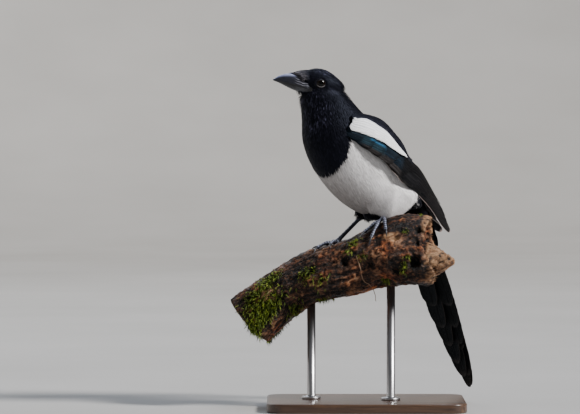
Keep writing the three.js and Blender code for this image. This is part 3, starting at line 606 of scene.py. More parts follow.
def horn_paint():
    paint = Paint("horn", Specular_IOR_Level=0.6)
    wear = paint.noise(220, (1, 1, 2.5), detail=6)
    horn = paint.ramp(wear, [(0.3, (0.004, 0.004, 0.007)), (0.62, (0.014, 0.0155, 0.025)),
                             (0.85, (0.05, 0.054, 0.075))])
    # The pale blue ridge is a painted highlight along the top of the upper mandible
    horn = paint.blend(paint.carried("ridge"), horn, (0.2, 0.22, 0.36))
    # Pale streaks near the gape, painted highlights
    horn = paint.blend(paint.carried("gape_highlight"), horn, (0.42, 0.42, 0.5))
    # Dark in the gape, with painted shade at the bill's root and on the lower mandible
    paint.colour(paint.blend(paint.carried("gape_line_and_shade"), horn, (0.001, 0.001, 0.0015)))
    paint.roughness(paint.spread(paint.noise(500, detail=5), 0.25, 0.48))
    paint.relief(paint.noise(900, (1, 1, 4), detail=4), 0.0002, 0.5)
    return paint.material


def eye_paint():
    paint = Paint("eye", Roughness=0.03, Specular_IOR_Level=0.22)
    reach = paint.carried("reach")
    fibres = paint.noise(1500, detail=3)
    ring = paint.ramp(reach, [(0.0, (0.001, 0.001, 0.001)), (0.44, (0.001, 0.001, 0.001)),
                              (0.52, (0.008, 0.0035, 0.002)), (0.72, (0.005, 0.0022, 0.0013)),
                              (0.8, (0.002, 0.001, 0.001))])
    paint.colour(paint.times(ring, paint.spread(fibres, 0.6, 1.4)))
    return paint.material


def lid_paint():
    paint = Paint("lid", Specular_IOR_Level=0.1)
    rim = paint.carried("rim")
    grain = paint.noise(2500, detail=2)
    paint.colour(paint.blend(rim, (0.004, 0.004, 0.006), (0.2, 0.19, 0.2)))
    paint.roughness(paint.spread(grain, 0.35, 0.6))
    paint.relief(grain, 0.0002, 0.7)
    return paint.material


def scale_paint():
    paint = Paint("leg_scale", Specular_IOR_Level=0.55, Specular_Tint=(0.7, 0.78, 1.0, 1))
    grain = paint.noise(700, detail=5)
    leather = paint.ramp(grain, [(0.3, (0.004, 0.0045, 0.007)), (0.7, (0.014, 0.0155, 0.023))])
    # The pale plates are a painted highlight on the tops of the scales
    paint.colour(paint.blend(paint.carried("plate"), leather, (0.2, 0.215, 0.29)))
    paint.roughness(paint.spread(paint.noise(1200, detail=3), 0.25, 0.5))
    cells = paint.node("TexVoronoi", {"Vector": paint.place(), "Scale": 900.0}).outputs["Distance"]
    paint.relief(cells, 0.0002, 0.6)
    return paint.material


def bark_paint():
    paint = Paint("bark", Specular_IOR_Level=0.3)
    height = paint.carried("height")
    bare = paint.carried("bare")
    ends = paint.carried("ends")
    grain = paint.noise(170, (0.7, 1, 1.2), detail=9, rough=0.72, warp=0.5)
    fine = paint.noise(700, (0.8, 1, 1), detail=5, rough=0.7)
    # Painted shade in the crevices and pits and painted highlights on the ridges, by relief, over the bark's
    # own tone from its grain
    level = paint.maths("ADD", paint.maths("MULTIPLY", height, 0.62), paint.maths("MULTIPLY", grain, 0.38))
    bark = paint.ramp(level, [(0.3, (0.001, 0.0007, 0.0006)), (0.47, (0.0045, 0.0022, 0.0015)),
                              (0.56, (0.014, 0.006, 0.0035)), (0.64, (0.05, 0.021, 0.011)),
                              (0.72, (0.17, 0.08, 0.04)), (0.84, (0.5, 0.31, 0.19))])
    patches = paint.ramp(paint.noise(38, detail=4), [(0.4, (0.34, 0.29, 0.3)), (0.52, (1.1, 1.0, 0.92)),
                                                      (0.66, (1.9, 1.1, 0.62))])
    bark = paint.times(bark, patches)
    specks = paint.noise(420, (0.8, 1, 1), detail=3, rough=0.6)
    chips = paint.maths("MULTIPLY", paint.ramp(specks, [(0.56, (0, 0, 0)), (0.64, (1, 1, 1))]), 0.55)
    bark = paint.blend(chips, bark, (0.2, 0.1, 0.055))
    # Dark specks: painted shade for small hollows
    hollow_shade = paint.ramp(specks, [(0.38, (0.12, 0.12, 0.12)), (0.46, (1, 1, 1))])
    bark = paint.times(bark, hollow_shade)
    wood = paint.ramp(grain, [(0.34, (0.05, 0.02, 0.009)), (0.45, (0.26, 0.125, 0.055)),
                              (0.58, (0.56, 0.34, 0.185))])
    rings = paint.bands(paint.carried("core"), 2.4, 1.5, 2.0)
    sawn = paint.ramp(rings, [(0.2, (0.16, 0.09, 0.045)), (0.8, (0.36, 0.23, 0.125))])
    paint.colour(paint.blend(ends, paint.blend(bare, bark, wood), sawn))
    wet = paint.noise(90, detail=3)
    paint.roughness(paint.ramp(wet, [(0.4, (0.32, 0.32, 0.32)), (0.6, (0.8, 0.8, 0.8))]))
    under = paint.relief(grain, 0.003, 1.0)
    paint.relief(fine, 0.001, 1.0, under)
    return paint.material


def moss_paint():
    paint = Paint("moss", Roughness=0.7)
    shade = paint.spread(paint.noise(500, detail=2), 0.6, 1.4)
    paint.colour(paint.times(paint.carried("tint", "Color"), shade))
    return paint.material


def base_paint():
    paint = Paint("base_wood", Coat_Weight=0.35, Coat_Roughness=0.22)
    grain = paint.noise(26, (0.6, 9, 9), detail=9, rough=0.6, warp=0.8)
    pores = paint.noise(150, (0.5, 14, 14), detail=4)
    paint.colour(paint.ramp(grain, [(0.3, (0.02, 0.009, 0.005)), (0.5, (0.055, 0.026, 0.013)),
                                    (0.72, (0.105, 0.054, 0.027))]))
    paint.roughness(paint.spread(pores, 0.32, 0.5))
    paint.relief(pores, 0.0002, 0.4)
    return paint.material


def rod_paint():
    paint = Paint("rod_metal", Metallic=1.0)
    lines = paint.noise(900, (1, 1, 0.04), detail=3)
    paint.colour(paint.ramp(lines, [(0.3, (0.36, 0.36, 0.37)), (0.7, (0.58, 0.58, 0.6))]))
    paint.roughness(paint.spread(lines, 0.25, 0.42))
    paint.relief(lines, 0.0001, 0.3)
    return paint.material


def floor_paint():
    paint = Paint("floor", Roughness=0.75, Specular_IOR_Level=0.2)
    shade = paint.noise(2.5, detail=3)
    paint.colour(paint.ramp(shade, [(0.3, (0.36, 0.352, 0.34)), (0.7, (0.4, 0.392, 0.38))]))
    return paint.material


# The skin


def loft(rows, steps, sides, extra):
    """Oval rings through the rows of a trunk, head or thigh, made larger by extra."""
    x, z, lean, turn, half, back, belly = (c[:, None] for c in curve(rows, shares(steps + 1)).T)
    lean, turn = np.radians(lean), np.radians(turn)
    a = circle(sides)
    wide = np.cos(a) * (half + extra)
    tall = np.sin(a) * (np.where(np.sin(a) > 0, back, belly) + extra)
    return np.stack([
        x - np.sin(turn) * wide - np.sin(lean) * np.cos(turn) * tall,
        np.cos(turn) * wide - np.sin(lean) * np.sin(turn) * tall,
        z + np.cos(lean) * tall,
    ], -1)


def thigh_rings(name, extra):
    """The feathered thigh, from inside the flank to the heel."""
    heel, limb = HEELS[name], FEET[name]
    rows = [(heel[0] + f * limb["knee"][0], heel[2] + f * limb["knee"][1], lean, 0, r, r, r)
            for f, r, lean in ((1, 13, 35), (0.5, 12, 38), (0.13, 8.6, 42), (-0.17, 4, 45))]
    rings = loft(rows, 9, 20, extra)
    across = curve([(24,), (25,), (24,), (23.3,)], shares(10))
    rings[..., 1] += limb["side"] * across
    return rings


AXIS_SHARES = shares(80)
AXIS = curve(TRUNK, AXIS_SHARES)
AXIS_POINTS = np.stack([AXIS[:, 0], 0 * AXIS[:, 0], AXIS[:, 1]], 1)
AXIS_AHEAD = np.stack([
    np.cos(np.radians(AXIS[:, 2])) * np.cos(np.radians(AXIS[:, 3])),
    np.cos(np.radians(AXIS[:, 2])) * np.sin(np.radians(AXIS[:, 3])),
    np.sin(np.radians(AXIS[:, 2])),
], 1)


def axis_index(p):
    """The nearest sample of the trunk's axis to each point."""
    return ((p[:, None, :] - AXIS_POINTS[None]) ** 2).sum(-1).argmin(1)


def head_share(p):
    """1 on the head, 0 on the neck and body."""
    return 1 - step(19, 26, np.linalg.norm(p - HEAD_AT - [0, 0, 2], axis=1))


def blackness(p):
    """1 where feathers rooted at p are black, 0 where they are white, with a ragged border."""
    ragged = 0.9 * noise(p, 3.0, seed=5)
    bib = BIB_RADIUS + ragged - np.linalg.norm(p - BIB_AT, axis=1)
    lean = math.radians(BACK_LEAN)
    back = (p[:, 2] - BACK_HEIGHT) * math.cos(lean) - p[:, 0] * math.sin(lean) + ragged
    neck = (AXIS_SHARES[axis_index(p)] - NECK_FROM) * 100
    vent = VENT_X - p[:, 0] - 0.25 * (p[:, 2] - 215) + ragged
    heel = np.max([HEEL_BLACK + ragged - np.linalg.norm(p - at, axis=1) for at in HEELS.values()], axis=0)
    lap = 10 * (1 - np.linalg.norm((p - LAP_AT) / LAP_REACH, axis=1)) + ragged
    return step(-0.3, 0.3, np.max([bib, back, neck, vent, heel, lap], axis=0))


def whiteness(p):
    """The white feathers' colour at p, with painted shade low on the front of the belly."""
    away = p - AXIS_POINTS[axis_index(p)]
    low = -away[:, 2] / np.linalg.norm(away, axis=1)
    return mix(WHITE, WHITE * PAINTED_BELLY_SHADE, (step(0.36, 0.9, low) * step(-18, 10, p[:, 0]))[:, None])


def streaks_and_sheen(p):
    """1 at the throat, where many feathers have a pale streak, at the ear, where such streaks are partly a
    painted sheen, and on the crown, where the brighter tufts are a painted sheen; 0 elsewhere.
    """
    throat = 1 - step(16, 30, np.linalg.norm(p - [72, 0, 316], axis=1))
    h = bird_to_head(p)
    ear = 1 - step(4, 12, np.hypot(h[:, 0] + 15, h[:, 2] + 9))
    # The crown's brighter tufts are a painted sheen of the light from above
    crown = step(7, 13, h[:, 2]) * head_share(p)
    return np.max([throat, ear * head_share(p), crown], axis=0)


def lie(p):
    """The way in which feathers lie at p, before it is laid on the skin."""
    nearest = axis_index(p)
    down = np.array([0, 0, -1.0])
    low = step(-10, 45, AXIS_POINTS[nearest, 2] - p[:, 2])[:, None]
    body = -AXIS_AHEAD[nearest] + (0.15 + 0.3 * low) * down
    seen = bird_to_head(p) - BILL_ROOT
    away = unit(seen) @ HEAD_TURNED.T
    far = step(12, 46, np.linalg.norm(seen, axis=1))[:, None]
    head = away + 1.1 * far * down
    share = head_share(p)[:, None]
    return unit(mix(body, head, share))


def round_branch(points, t):
    """Points as seen from the branch's middle line, which is sampled at shares t.

    Gives the nearest sample, the length past it, the way off the line and the angle round it.
    """
    at, _, along, up, front = branch_frame(BRANCH, t)
    i = ((points[:, None, :] - at[None]) ** 2).sum(-1).argmin(1)
    away = points - at[i]
    past = (away * along[i]).sum(1)
    away -= dot(away, along[i]) * along[i]
    return i, past, away, np.arctan2((away * front[i]).sum(1), (away * up[i]).sum(1))


def clear_of_branch(p, gap):
    """Bird-frame points moved out of the branch."""
    q = to_part(p)
    t = shares(90)
    i, _, away, angle = round_branch(q, t)
    reach = np.linalg.norm(away, axis=1)
    needed = curve(BRANCH, t)[i, 3] * branch_bumps(t[i], angle) + gap
    inside = (reach < needed) & (i < len(t) - 1)
    q[inside] += (away * (needed / np.maximum(reach, 1e-6) - 1)[:, None])[inside]
    return to_bird(q)


class Skin:
    """The seamless skin, and the nearest place on it to any point."""

    def __init__(self):
        parts = [
            ringed(loft(TRUNK, 40, 48, -BODY_COAT_DEPTH)),
            ringed(head_to_bird(loft(HEAD, 30, 36, -HEAD_COAT_DEPTH))),
            *[ringed(thigh_rings(name, -THIGH_COAT_DEPTH)) for name in FEET],
        ]
        self.points, self.quads, _ = fused(parts, SKIN_VOXEL, 8)
        self.sink_sockets()
        self.points = clear_of_branch(self.points, 0.8)
        self.tree = BVHTree.FromPolygons(self.points.tolist(), self.quads.tolist())
        a, b, c, d = (self.points[self.quads[:, k]] for k in range(4))
        self.flat = unit(np.cross(c - a, d - b))
        corners = np.zeros_like(self.points)
        for k in range(4):
            np.add.at(corners, self.quads[:, k], self.flat)
        self.soft = unit(unit(corners)[self.quads].mean(1))
        self.middles = (a + b + c + d) / 4

    def sink_sockets(self):
        """Draws the skin in behind the eyes and under the root of the bill."""
        h = bird_to_head(self.points)
        inside = (h[:, 0] / SOCKET_REACH[0]) ** 2 + (h[:, 2] / SOCKET_REACH[1]) ** 2 < 1
        h[inside, 1] = np.sign(h[inside, 1]) * np.minimum(np.abs(h[inside, 1]), SOCKET_SIDE)
        h[:, 1:] *= (1 - 0.22 * step(19, 24, h[:, 0]))[:, None]
        self.points = head_to_bird(h)

    def nearest(self, points):
        """The nearest places on the skin and the smooth normals there."""
        found = [self.tree.find_nearest(Vector(p)) for p in points]
        index = np.array([f[2] for f in found])
        return np.array([f[0] for f in found]), self.soft[index]

    def scatter(self, chosen, spacing, rng):
        """Random places on the chosen faces, about one in each square of the given spacing."""
        quads = self.quads[chosen]
        a, b, c, d = (self.points[quads[:, k]] for k in range(4))
        area = 0.5 * np.linalg.norm(np.cross(c - a, d - b), axis=1)
        count = int(area.sum() / spacing**2 * 4)
        pick = rng.choice(len(quads), count, p=area / area.sum())
        s, t = rng.random((2, count, 1))
        p = mix(mix(a[pick], b[pick], s), mix(d[pick], c[pick], s), t)
        cells = np.floor(p / (spacing * 1.2)).astype(int)
        keep = np.unique(cells, axis=0, return_index=True)[1]
        keep.sort()
        return p[keep], self.soft[np.flatnonzero(chosen)[pick[keep]]]


# Tufts of the coat


def tufts(paths, sides, normals, halves, ridge, tints, uv):
    """Thin closed leaves along paths (N, rows, 3), the last row of each being its tip."""
    count, rows = paths.shape[:2]
    body = rows - 1
    half = halves[:, :body, None]
    left = paths[:, :body] + sides[:, :body] * half
    top = paths[:, :body] + normals[:, :body] * ridge * half
    right = paths[:, :body] - sides[:, :body] * half
    points = np.concatenate([np.stack([left, top, right], 2).reshape(count, -1, 3), paths[:, body:]], 1)
    size = 3 * body + 1
    start = (np.arange(count) * size)[:, None, None]
    a = np.array([[3 * r + s, 3 * r + (s + 1) % 3] for r in range(body - 1) for s in range(3)])
    quads = np.concatenate([a, a[:, ::-1] + 3], 1)[None] + start
    last = 3 * (body - 1)
    tip = [[last + s, last + (s + 1) % 3, size - 1] for s in range(3)]
    triangles = np.array([*tip, [0, 2, 1]])[None] + start
    tint = np.concatenate([np.repeat(tints[:, :body], 3, axis=1), tints[:, body:]], 1)
    across = np.array([*([-1, 0, 1] * body), 0]) * 0.0014
    ahead = np.array([*np.repeat(np.linspace(0, 0.8, body), 3), 1]) * 0.0028
    spots = np.stack([uv[:, :1] + across, uv[:, 1:] + ahead], -1)
    tilt = np.tile([0.3, 0.0, -0.3], body)[None, :, None]
    soft = np.repeat(normals[:, :body], 3, axis=1) + np.repeat(sides[:, :body], 3, axis=1) * tilt
    soft = unit(np.concatenate([soft, normals[:, body:]], 1))
    return dict(points=points.reshape(-1, 3), faces=[quads.reshape(-1, 4), triangles.reshape(-1, 3)],
                tint=tint.reshape(-1, 3), uv=spots.reshape(-1, 2), soft=soft.reshape(-1, 3))


def unwrap(p, on_head=False):
    """A place on the skin as an angle round its axis and a share along it."""
    if on_head:
        h = bird_to_head(p)
        side, high, share = h[:, 1], h[:, 2], (h[:, 0] + 32) / 66
    else:
        i = axis_index(p)
        away = p - AXIS_POINTS[i]
        up = -np.cross(AXIS_AHEAD[i], [0, 1, 0])
        side, high, share = away[:, 1], (away * up).sum(1), AXIS_SHARES[i]
    return inset(np.stack([np.arctan2(side, high) / (2 * np.pi) + 0.5, share], 1))


TUFT_ROWS = 4
NEAR_BRANCH = 215


def grown(skin, roots, normal, length, skew, lift):
    """Paths of tufts that lie along the skin, with the ways across them and out."""
    paths, sides, normals = [], [], []
    spot = roots
    for row in range(TUFT_ROWS):
        way = lie(spot)
        way = unit(way - dot(way, normal) * normal)
        side = np.cross(normal, way)
        way = unit(way + skew * side)
        height = mix(-0.45, 1, (row / (TUFT_ROWS - 1)) ** 0.7) * lift
        paths.append(spot + normal * height[:, None])
        normals.append(normal)
        sides.append(np.cross(normal, way))
        if row < TUFT_ROWS - 1:
            spot, normal = skin.nearest(spot + way * (length / (TUFT_ROWS - 1))[:, None])
    return (np.stack(made, 1) for made in (paths, sides, normals))


def tuft_tints(roots, rng):
    """The colours of tufts by place, each with its own tone, brighter where a pale streak or a painted sheen
    lies, and with painted shade towards the root.
    """
    count = len(roots)
    shade = rng.normal(1, 0.13, (count, 1)) + 0.06 * noise(roots, 6, seed=2)[:, None]
    gloss = rng.lognormal(0, 0.5, (count, 1))
    # Brighter black tufts: each tuft's own tone, pale streaks at the throat, and a painted sheen at the ear
    # and crown
    gloss = gloss * mix(1, rng.choice([1, 1, 1.5, 4, 9], (count, 1)), streaks_and_sheen(roots)[:, None])
    base = mix(whiteness(roots) * shade, BLACK * gloss, blackness(roots)[:, None])
    # Painted shade towards each tuft's root, where it lies under the others
    depth = mix(0.62, 1.0, shares(TUFT_ROWS))[None, :, None]
    return np.clip(base[:, None, :] * depth, 0, 0.9)


def coat(skin, chosen, spacing, size, seed, cover, on_head=False):
    """Tufts over the chosen faces. size(p) gives each tuft's length, half width and the rise of its tip."""
    rng = np.random.default_rng(seed)
    roots, normal = skin.scatter(chosen, spacing, rng)
    keep = ~cover.hides(roots, normal)
    roots, normal = roots[keep], normal[keep]
    count = len(roots)
    length, half, rise = size(roots)
    length = length * rng.uniform(0.8, 1.2, count)
    skew = (rng.normal(0, 0.07, count) + 0.1 * noise(roots, 9, seed=9))[:, None]
    lift = rise * rng.uniform(0.7, 1.15, count)
    paths, sides, normals = grown(skin, roots, normal, length, skew, lift)
    near = paths[..., 2].min(1) < NEAR_BRANCH
    flat = paths[near].reshape(-1, 3)
    paths[near] = clear_of_branch(flat, 0.5).reshape(-1, TUFT_ROWS, 3)
    halves = half[:, None] * np.array([0.7, 1.0, 0.72, 0.0]) * rng.uniform(0.8, 1.2, (count, 1))
    return tufts(paths, sides, normals, halves, 0.25, tuft_tints(roots, rng), unwrap(roots, on_head))


# How low the long flank feathers hang over the near leg: place ahead, height
FLANK_HEM = [
    (-38, 224),
    (-36, 215.4),
    (-27.2, 207),
    (-18, 203),
    (-9.7, 201.6),
    (-3, 205),
    (1, 207),
    (6, 208),
]
FLANK_ROWS = 6
FLANK_COUNT = 6800
LEG_ROWS = 5
LEG_COUNT = 500


def wing_low(x):
    """The height of the folded wing's lower edge at x."""
    edge = np.array(WING)[::-1, [0, 2]]
    return np.interp(x, edge[:, 0], edge[:, 1])


def flank_face(skin, side, x, z):
    """How far out the flank's feathers lie: on the skin, or hanging straight down where it turns in."""
    hits = [skin.tree.ray_cast(Vector((a, side * 60.0, b)), Vector((0, -side, 0)))[0] for a, b in zip(x, z)]
    own = np.array([abs(hit[1]) if hit else 0.0 for hit in hits])
    hanging = 36.5 - 0.0115 * (232 - z) ** 2 - 16 * step(-12, 12, x) - 6 * step(-33, -46, x)
    hanging -= 14 * step(-10, 3, z - wing_low(x))
    return (own + hanging + np.sqrt((own - hanging) ** 2 + 8.0)) / 2


def flank_feathers(skin, side):
    """Long soft feathers that hang from the flank over the bent leg."""
    rng = np.random.default_rng(61 + side)
    count = FLANK_COUNT
    place, height = np.array(FLANK_HEM).T
    tip_x = rng.uniform(-38, 6, count)
    tip_z = np.interp(tip_x, place, height) + rng.normal(0, 0.7, count) + 31 * rng.random(count) ** 1.4
    tip_z = np.minimum(tip_z, wing_low(tip_x) - 4 - 3 * rng.random(count))
    length = rng.uniform(11, 17, count)
    slope = rng.normal(0.62, 0.06, count)
    lift = rng.uniform(0.5, 1.0, count)
    paths, normals = [], []
    for row in range(FLANK_ROWS):
        t = row / (FLANK_ROWS - 1)
        x = tip_x + length * (1 - t) * slope
        z = tip_z + length * (1 - t) * 0.8
        face = flank_face(skin, side, x, z)
        ahead = flank_face(skin, side, x + 1.5, z) - face
        above = flank_face(skin, side, x, z + 1.5) - face
        normal = unit(np.stack([-ahead / 1.5, np.full(count, side), -above / 1.5], 1))
        paths.append(np.stack([x, side * face, z], 1) + normal * (mix(-0.5, 1.0, t**0.7) * lift)[:, None])
        normals.append(normal)
    paths = clear_of_branch(np.stack(paths, 1).reshape(-1, 3), 0.6).reshape(count, FLANK_ROWS, 3)
    normals = np.stack(normals, 1)
    sides = unit(np.cross(normals, unit(np.gradient(paths, axis=1))))
    halves = np.outer(rng.uniform(0.35, 0.6, count), [0.7, 1, 1, 0.85, 0.55, 0])
    # Each feather's own tone, with painted shade towards its root, where the others lie over it
    shade = rng.normal(1, 0.07, (count, 1, 1)) * mix(0.72, 1, shares(FLANK_ROWS))[None, :, None]
    tints = np.clip(whiteness(paths[:, 2])[:, None] * shade, 0, 0.92)
    return tufts(paths, sides, normals, halves, 0.25, tints, unwrap(paths[:, 0]))


def across_and_out(paths, out):
    """The ways across leaves and out of them, from their paths and the rough way out."""
    way = unit(np.gradient(paths, axis=1))
    sides = unit(np.cross(out, way))
    return sides, np.cross(way, sides)


def trousers(skin):
    """Soft black feathers that hang between the legs and round the tops of both."""
    rng = np.random.default_rng(67)
    roots, normal = skin.nearest(rng.uniform([-30, -27, 200], [4, 12, 212], (2600, 3)))
    keep = (roots[:, 2] < 213) & (to_part(roots)[:, 0] > -4)
    roots, normal = roots[keep], normal[keep]
    ways = []
    for name, heel in HEELS.items():
        foot_at = to_bird(on_branch(*FEET[name]["palm"], PALM_LIFT)[0])[0]
        near = skin.nearest(heel + rng.normal(0, 5, (LEG_COUNT, 3)))
        roots, normal = np.concatenate([roots, near[0]]), np.concatenate([normal, near[1]])
        ways.append(np.repeat(unit(foot_at - heel)[None], LEG_COUNT, 0))
    ways = np.concatenate(ways)
    count, on_legs = len(roots), len(ways)
    hang = np.stack([rng.uniform(-7, -3, count), rng.normal(0, 0.8, count), rng.uniform(-7.5, -3, count)], 1)
    inwards = np.repeat([*HEELS.values()], LEG_COUNT, 0) - roots[-on_legs:]
    hang[-on_legs:] = ways * rng.uniform(4, 11, (on_legs, 1)) + 0.25 * inwards
    s = shares(LEG_ROWS)[None, :, None]
    bulge = normal[:, None] * 1.6 * s * (1 - 0.6 * s)
    paths = roots[:, None] - 0.4 * normal[:, None] + hang[:, None] * s + bulge
    paths = clear_of_branch(paths.reshape(-1, 3), 0.6).reshape(paths.shape)
    sides, normals = across_and_out(paths, normal[:, None])
    halves = np.outer(rng.uniform(0.35, 0.6, count), [0.7, 1, 0.9, 0.6, 0])
    tints = np.repeat(BLACK * rng.lognormal(0, 0.4, (count, 1, 1)), LEG_ROWS, 1)
    return tufts(paths, sides, normals, halves, 0.25, tints, unwrap(roots))


class Cover:
    """What hides the skin: rays from it that meet a wing or a scapular."""

    def __init__(self, sheets):
        body = joined([dict(points=s["points"], faces=s["faces"]) for s in sheets])
        faces = [row for f in body["faces"] for row in f.tolist()]
        self.tree = BVHTree.FromPolygons(body["points"].tolist(), faces)

    def hides(self, points, normals, reach=14.0):
        hits = [self.tree.ray_cast(Vector(p), Vector(n), reach)[0] for p, n in zip(points, normals)]
        return np.array([hit is not None for hit in hits], bool)


CHIN_AT = np.array([80, -10, 331])
NAPE_AT = np.array([41, 11, 338])
BILL_FOOT = head_to_bird(np.array([20.0, 0, -9]))


def fuller(p, rise):
    """More rise under the chin, behind the head and under the foot of the bill."""
    chin = 1 - step(4, 15, np.linalg.norm(p - CHIN_AT, axis=1))
    nape = 1 - step(5, 16, np.linalg.norm(p - NAPE_AT, axis=1))
    foot = 1 - step(3, 8.5, np.linalg.norm(p - BILL_FOOT, axis=1))
    return rise + 1.7 * chin + 1.6 * nape + 2.2 * foot


def sizes_on_body(p):
    """Length, half width and rise of the tufts on the neck and body."""
    share = AXIS_SHARES[axis_index(p)]
    neck = step(0.6, 0.85, share)
    white = 1 - blackness(p)
    length = mix(mix(7.0, 13.0, white), 5.0, neck)
    half = mix(mix(0.85, 0.55, white), 0.5, neck)
    rise = mix(mix(1.3, 0.8, white), 1.0, neck)
    return length, half, fuller(p, rise)


def sizes_on_head(p):
    """Shorter and finer towards the bill and the eyes."""
    h = bird_to_head(p)
    far = step(6, 44, np.linalg.norm(h - BILL_ROOT, axis=1))
    eye = step(5, 12, np.hypot(h[:, 0], h[:, 2]))
    length = mix(1.8, 5.2, far) * mix(0.6, 1, eye)
    return length, mix(0.26, 0.5, far), fuller(p, mix(0.45, 1.0, far) * mix(0.5, 1, eye))


def small_near_heels(p):
    length, half, rise = sizes_on_body(p)
    near = 1 - step(4, 14, np.min([np.linalg.norm(p - at, axis=1) for at in HEELS.values()], axis=0))
    return mix(length, 4.0, near), mix(half, 0.5, near), mix(rise, 0.6, near)


def face_open(skin):
    """Faces of the skin that may carry tufts on the head: none in the eyes or under the bill's horn."""
    h = bird_to_head(skin.middles)
    eye = (h[:, 0] / BARE_REACH[0]) ** 2 + (h[:, 2] / BARE_REACH[1]) ** 2 < 1
    bill_edge = mix(27, 20, step(-10, 4, h[:, 2])) - 4 * (h[:, 2] > 4)
    return ~(eye & (np.abs(h[:, 1]) > 8)) & (h[:, 0] < bill_edge)


# The bill, its bristles, the eyes and their lids

BRISTLE_COUNT = 1300


def mandible(upper):
    """One half of the bill: an outer face of horn and a flat inner one."""
    rows, columns, inner_columns = 72, 97, 7
    s = shares(rows)
    x, half, ridge, edge, keel = (c[:, None] for c in curve(BILL, s * (1 if upper else LOWER_BILL_END)).T)
    if not upper:
        taper = (s**6)[:, None]
        half = half * (1 - 0.6 * taper)
        keel = mix(keel, edge - 0.6, taper)
    flat, far = (edge - 0.25, ridge) if upper else (edge + 0.1, keel)
    a = np.linspace(0, np.pi, columns)[None]
    high = np.abs(np.sin(a)) ** 0.85
    lip = 1 - step(0.0, 0.11, high)
    grooves = 0.22 * np.sin(high * 30 + 0.5) * (1 - step(14, 27, x)) * bump(0.12, 0.62, high, 0.12)
    curl = (0.2 if upper else 0.7) * lip * np.minimum(1, half / 4)
    wide = half + grooves + (0.25 if upper else 0) * (1 - high) - curl
    points = np.stack([x + 0 * a, np.cos(a) * wide, flat + (far - flat) * high], -1)
    inner = np.linspace(1, -1, inner_columns + 2)[1:-1][None] * half * 0.9
    hollow = np.stack([x + 0 * inner, -inner, flat + 0 * inner], -1)
    lines = np.clip(np.sin(high * 34 + 2.2 * noise(x / 3, 1.0)[:, None]), 0, 1) ** 3
    broken = step(-0.5, 0.1, noise(x / 2.2, 1.0, 5)[:, None])

    def carried(outer, within):
        """Values of the outer face, with one value for the inner face and the ends."""
        outer = np.broadcast_to(outer, (rows, columns))
        values = np.concatenate([outer, np.full((rows, inner_columns), within)], 1)
        return np.append(values.ravel(), [within, within])

    made = ringed(np.concatenate([points, hollow], 1))
    # Dark along the gape between the mandibles, with painted shade at the root under the bristles and over
    # the whole lower mandible
    gape_line_and_shade = lip if upper else np.maximum(0.6, lip)
    made["gape_line_and_shade"] = carried(np.maximum(gape_line_and_shade, 1 - step(8.5, 13, x)), 1.0)
    # Pale streaks near the gape: painted highlights
    made["gape_highlight"] = carried(lines * bump(0.14, 0.7, high, 0.1) * (1 - step(20, 29, x)) * broken, 0.0)
    # The pale blue top of the upper mandible's front is a painted highlight
    made["ridge"] = carried((step(0.6, 0.98, high) if upper else 0 * high) * step(22, 30, x), 0.0)
    return placed(made, head_to_bird)


def section_at(rows, x):
    """The section at x of a table of sections."""
    rows = np.array(rows)
    return curve(rows, np.interp(x, rows[:, 0], shares(len(rows))))


def head_reach(x, angle):
    """A point of the head's solid outline at x, angle from its left side over the top."""
    row = section_at(HEAD, x)
    tall = np.where(np.sin(angle) > 0, row[:, 5], row[:, 6])
    return np.stack([x, np.cos(angle) * row[:, 4], row[:, 1] + np.sin(angle) * tall], 1)


def bill_reach(x, angle):
    """A point of the bill's outline at x, angle from its left edge over the ridge."""
    row = section_at(BILL, x)
    high = np.abs(np.sin(angle)) ** 0.85
    return np.stack([x, np.cos(angle) * row[:, 1], row[:, 3] + (row[:, 2] - row[:, 3]) * high], 1)


def bristles():
    """Stiff dark feathers that lie forward over the base of the bill and cover the nostrils."""
    rng = np.random.default_rng(31)
    count, rows = BRISTLE_COUNT, 5
    angle = rng.uniform(0.06, 0.94, count) * np.pi
    top = np.sin(angle)
    start = rng.uniform(11, 23, count)
    end = mix(18.5, 32.0, np.clip(top, 0, 1) ** 2.2) + rng.normal(0, 0.8, count)
    start = np.minimum(start, end - 3)
    paths = []
    for row in range(rows):
        t = row / (rows - 1)
        x = mix(start, end, t)
        bend = angle + (np.pi / 2 - angle) * 0.06 * t
        skin = head_reach(np.minimum(x, 30), bend)
        skin[:, 0] = x
        horn = bill_reach(x, bend)
        skin_reach, horn_reach = (dot(at - HEAD_AXIS, at - HEAD_AXIS) for at in (skin, horn))
        outer = np.where(skin_reach > horn_reach, skin, horn)
        at = mix(skin, horn, 0.75) if t == 1 else mix(skin, outer, t)
        out = unit(np.stack([0 * x, np.cos(bend), np.sin(bend)], 1))
        height = mix(-2.0, -0.1, min(1, 2.4 * t)) + 0.45 * math.sin(math.pi * t)
        paths.append(at + out * (height + rng.uniform(-0.1, 0.25, (count, 1))))
    paths = np.stack(paths, 1)
    sides, normals = across_and_out(paths, unit(paths * [0, 1, 1] + [0, 0, 3]))
    halves = np.outer(rng.uniform(0.2, 0.34, count), [0.8, 1, 0.9, 0.6, 0])
    pale = np.array([0.042, 0.039, 0.043]) * rng.lognormal(0, 1.0, (count, 1, 1))
    tints = mix(BLACK, pale, step(0, 0.8, shares(rows))[None, :, None])
    uv = inset(np.stack([angle / np.pi, rng.random(count)], 1))
    made = tufts(paths, sides, normals, halves, 0.6, tints, uv)
    made["soft"] = made["soft"] @ HEAD_TURNED.T
    return placed(made, head_to_bird)


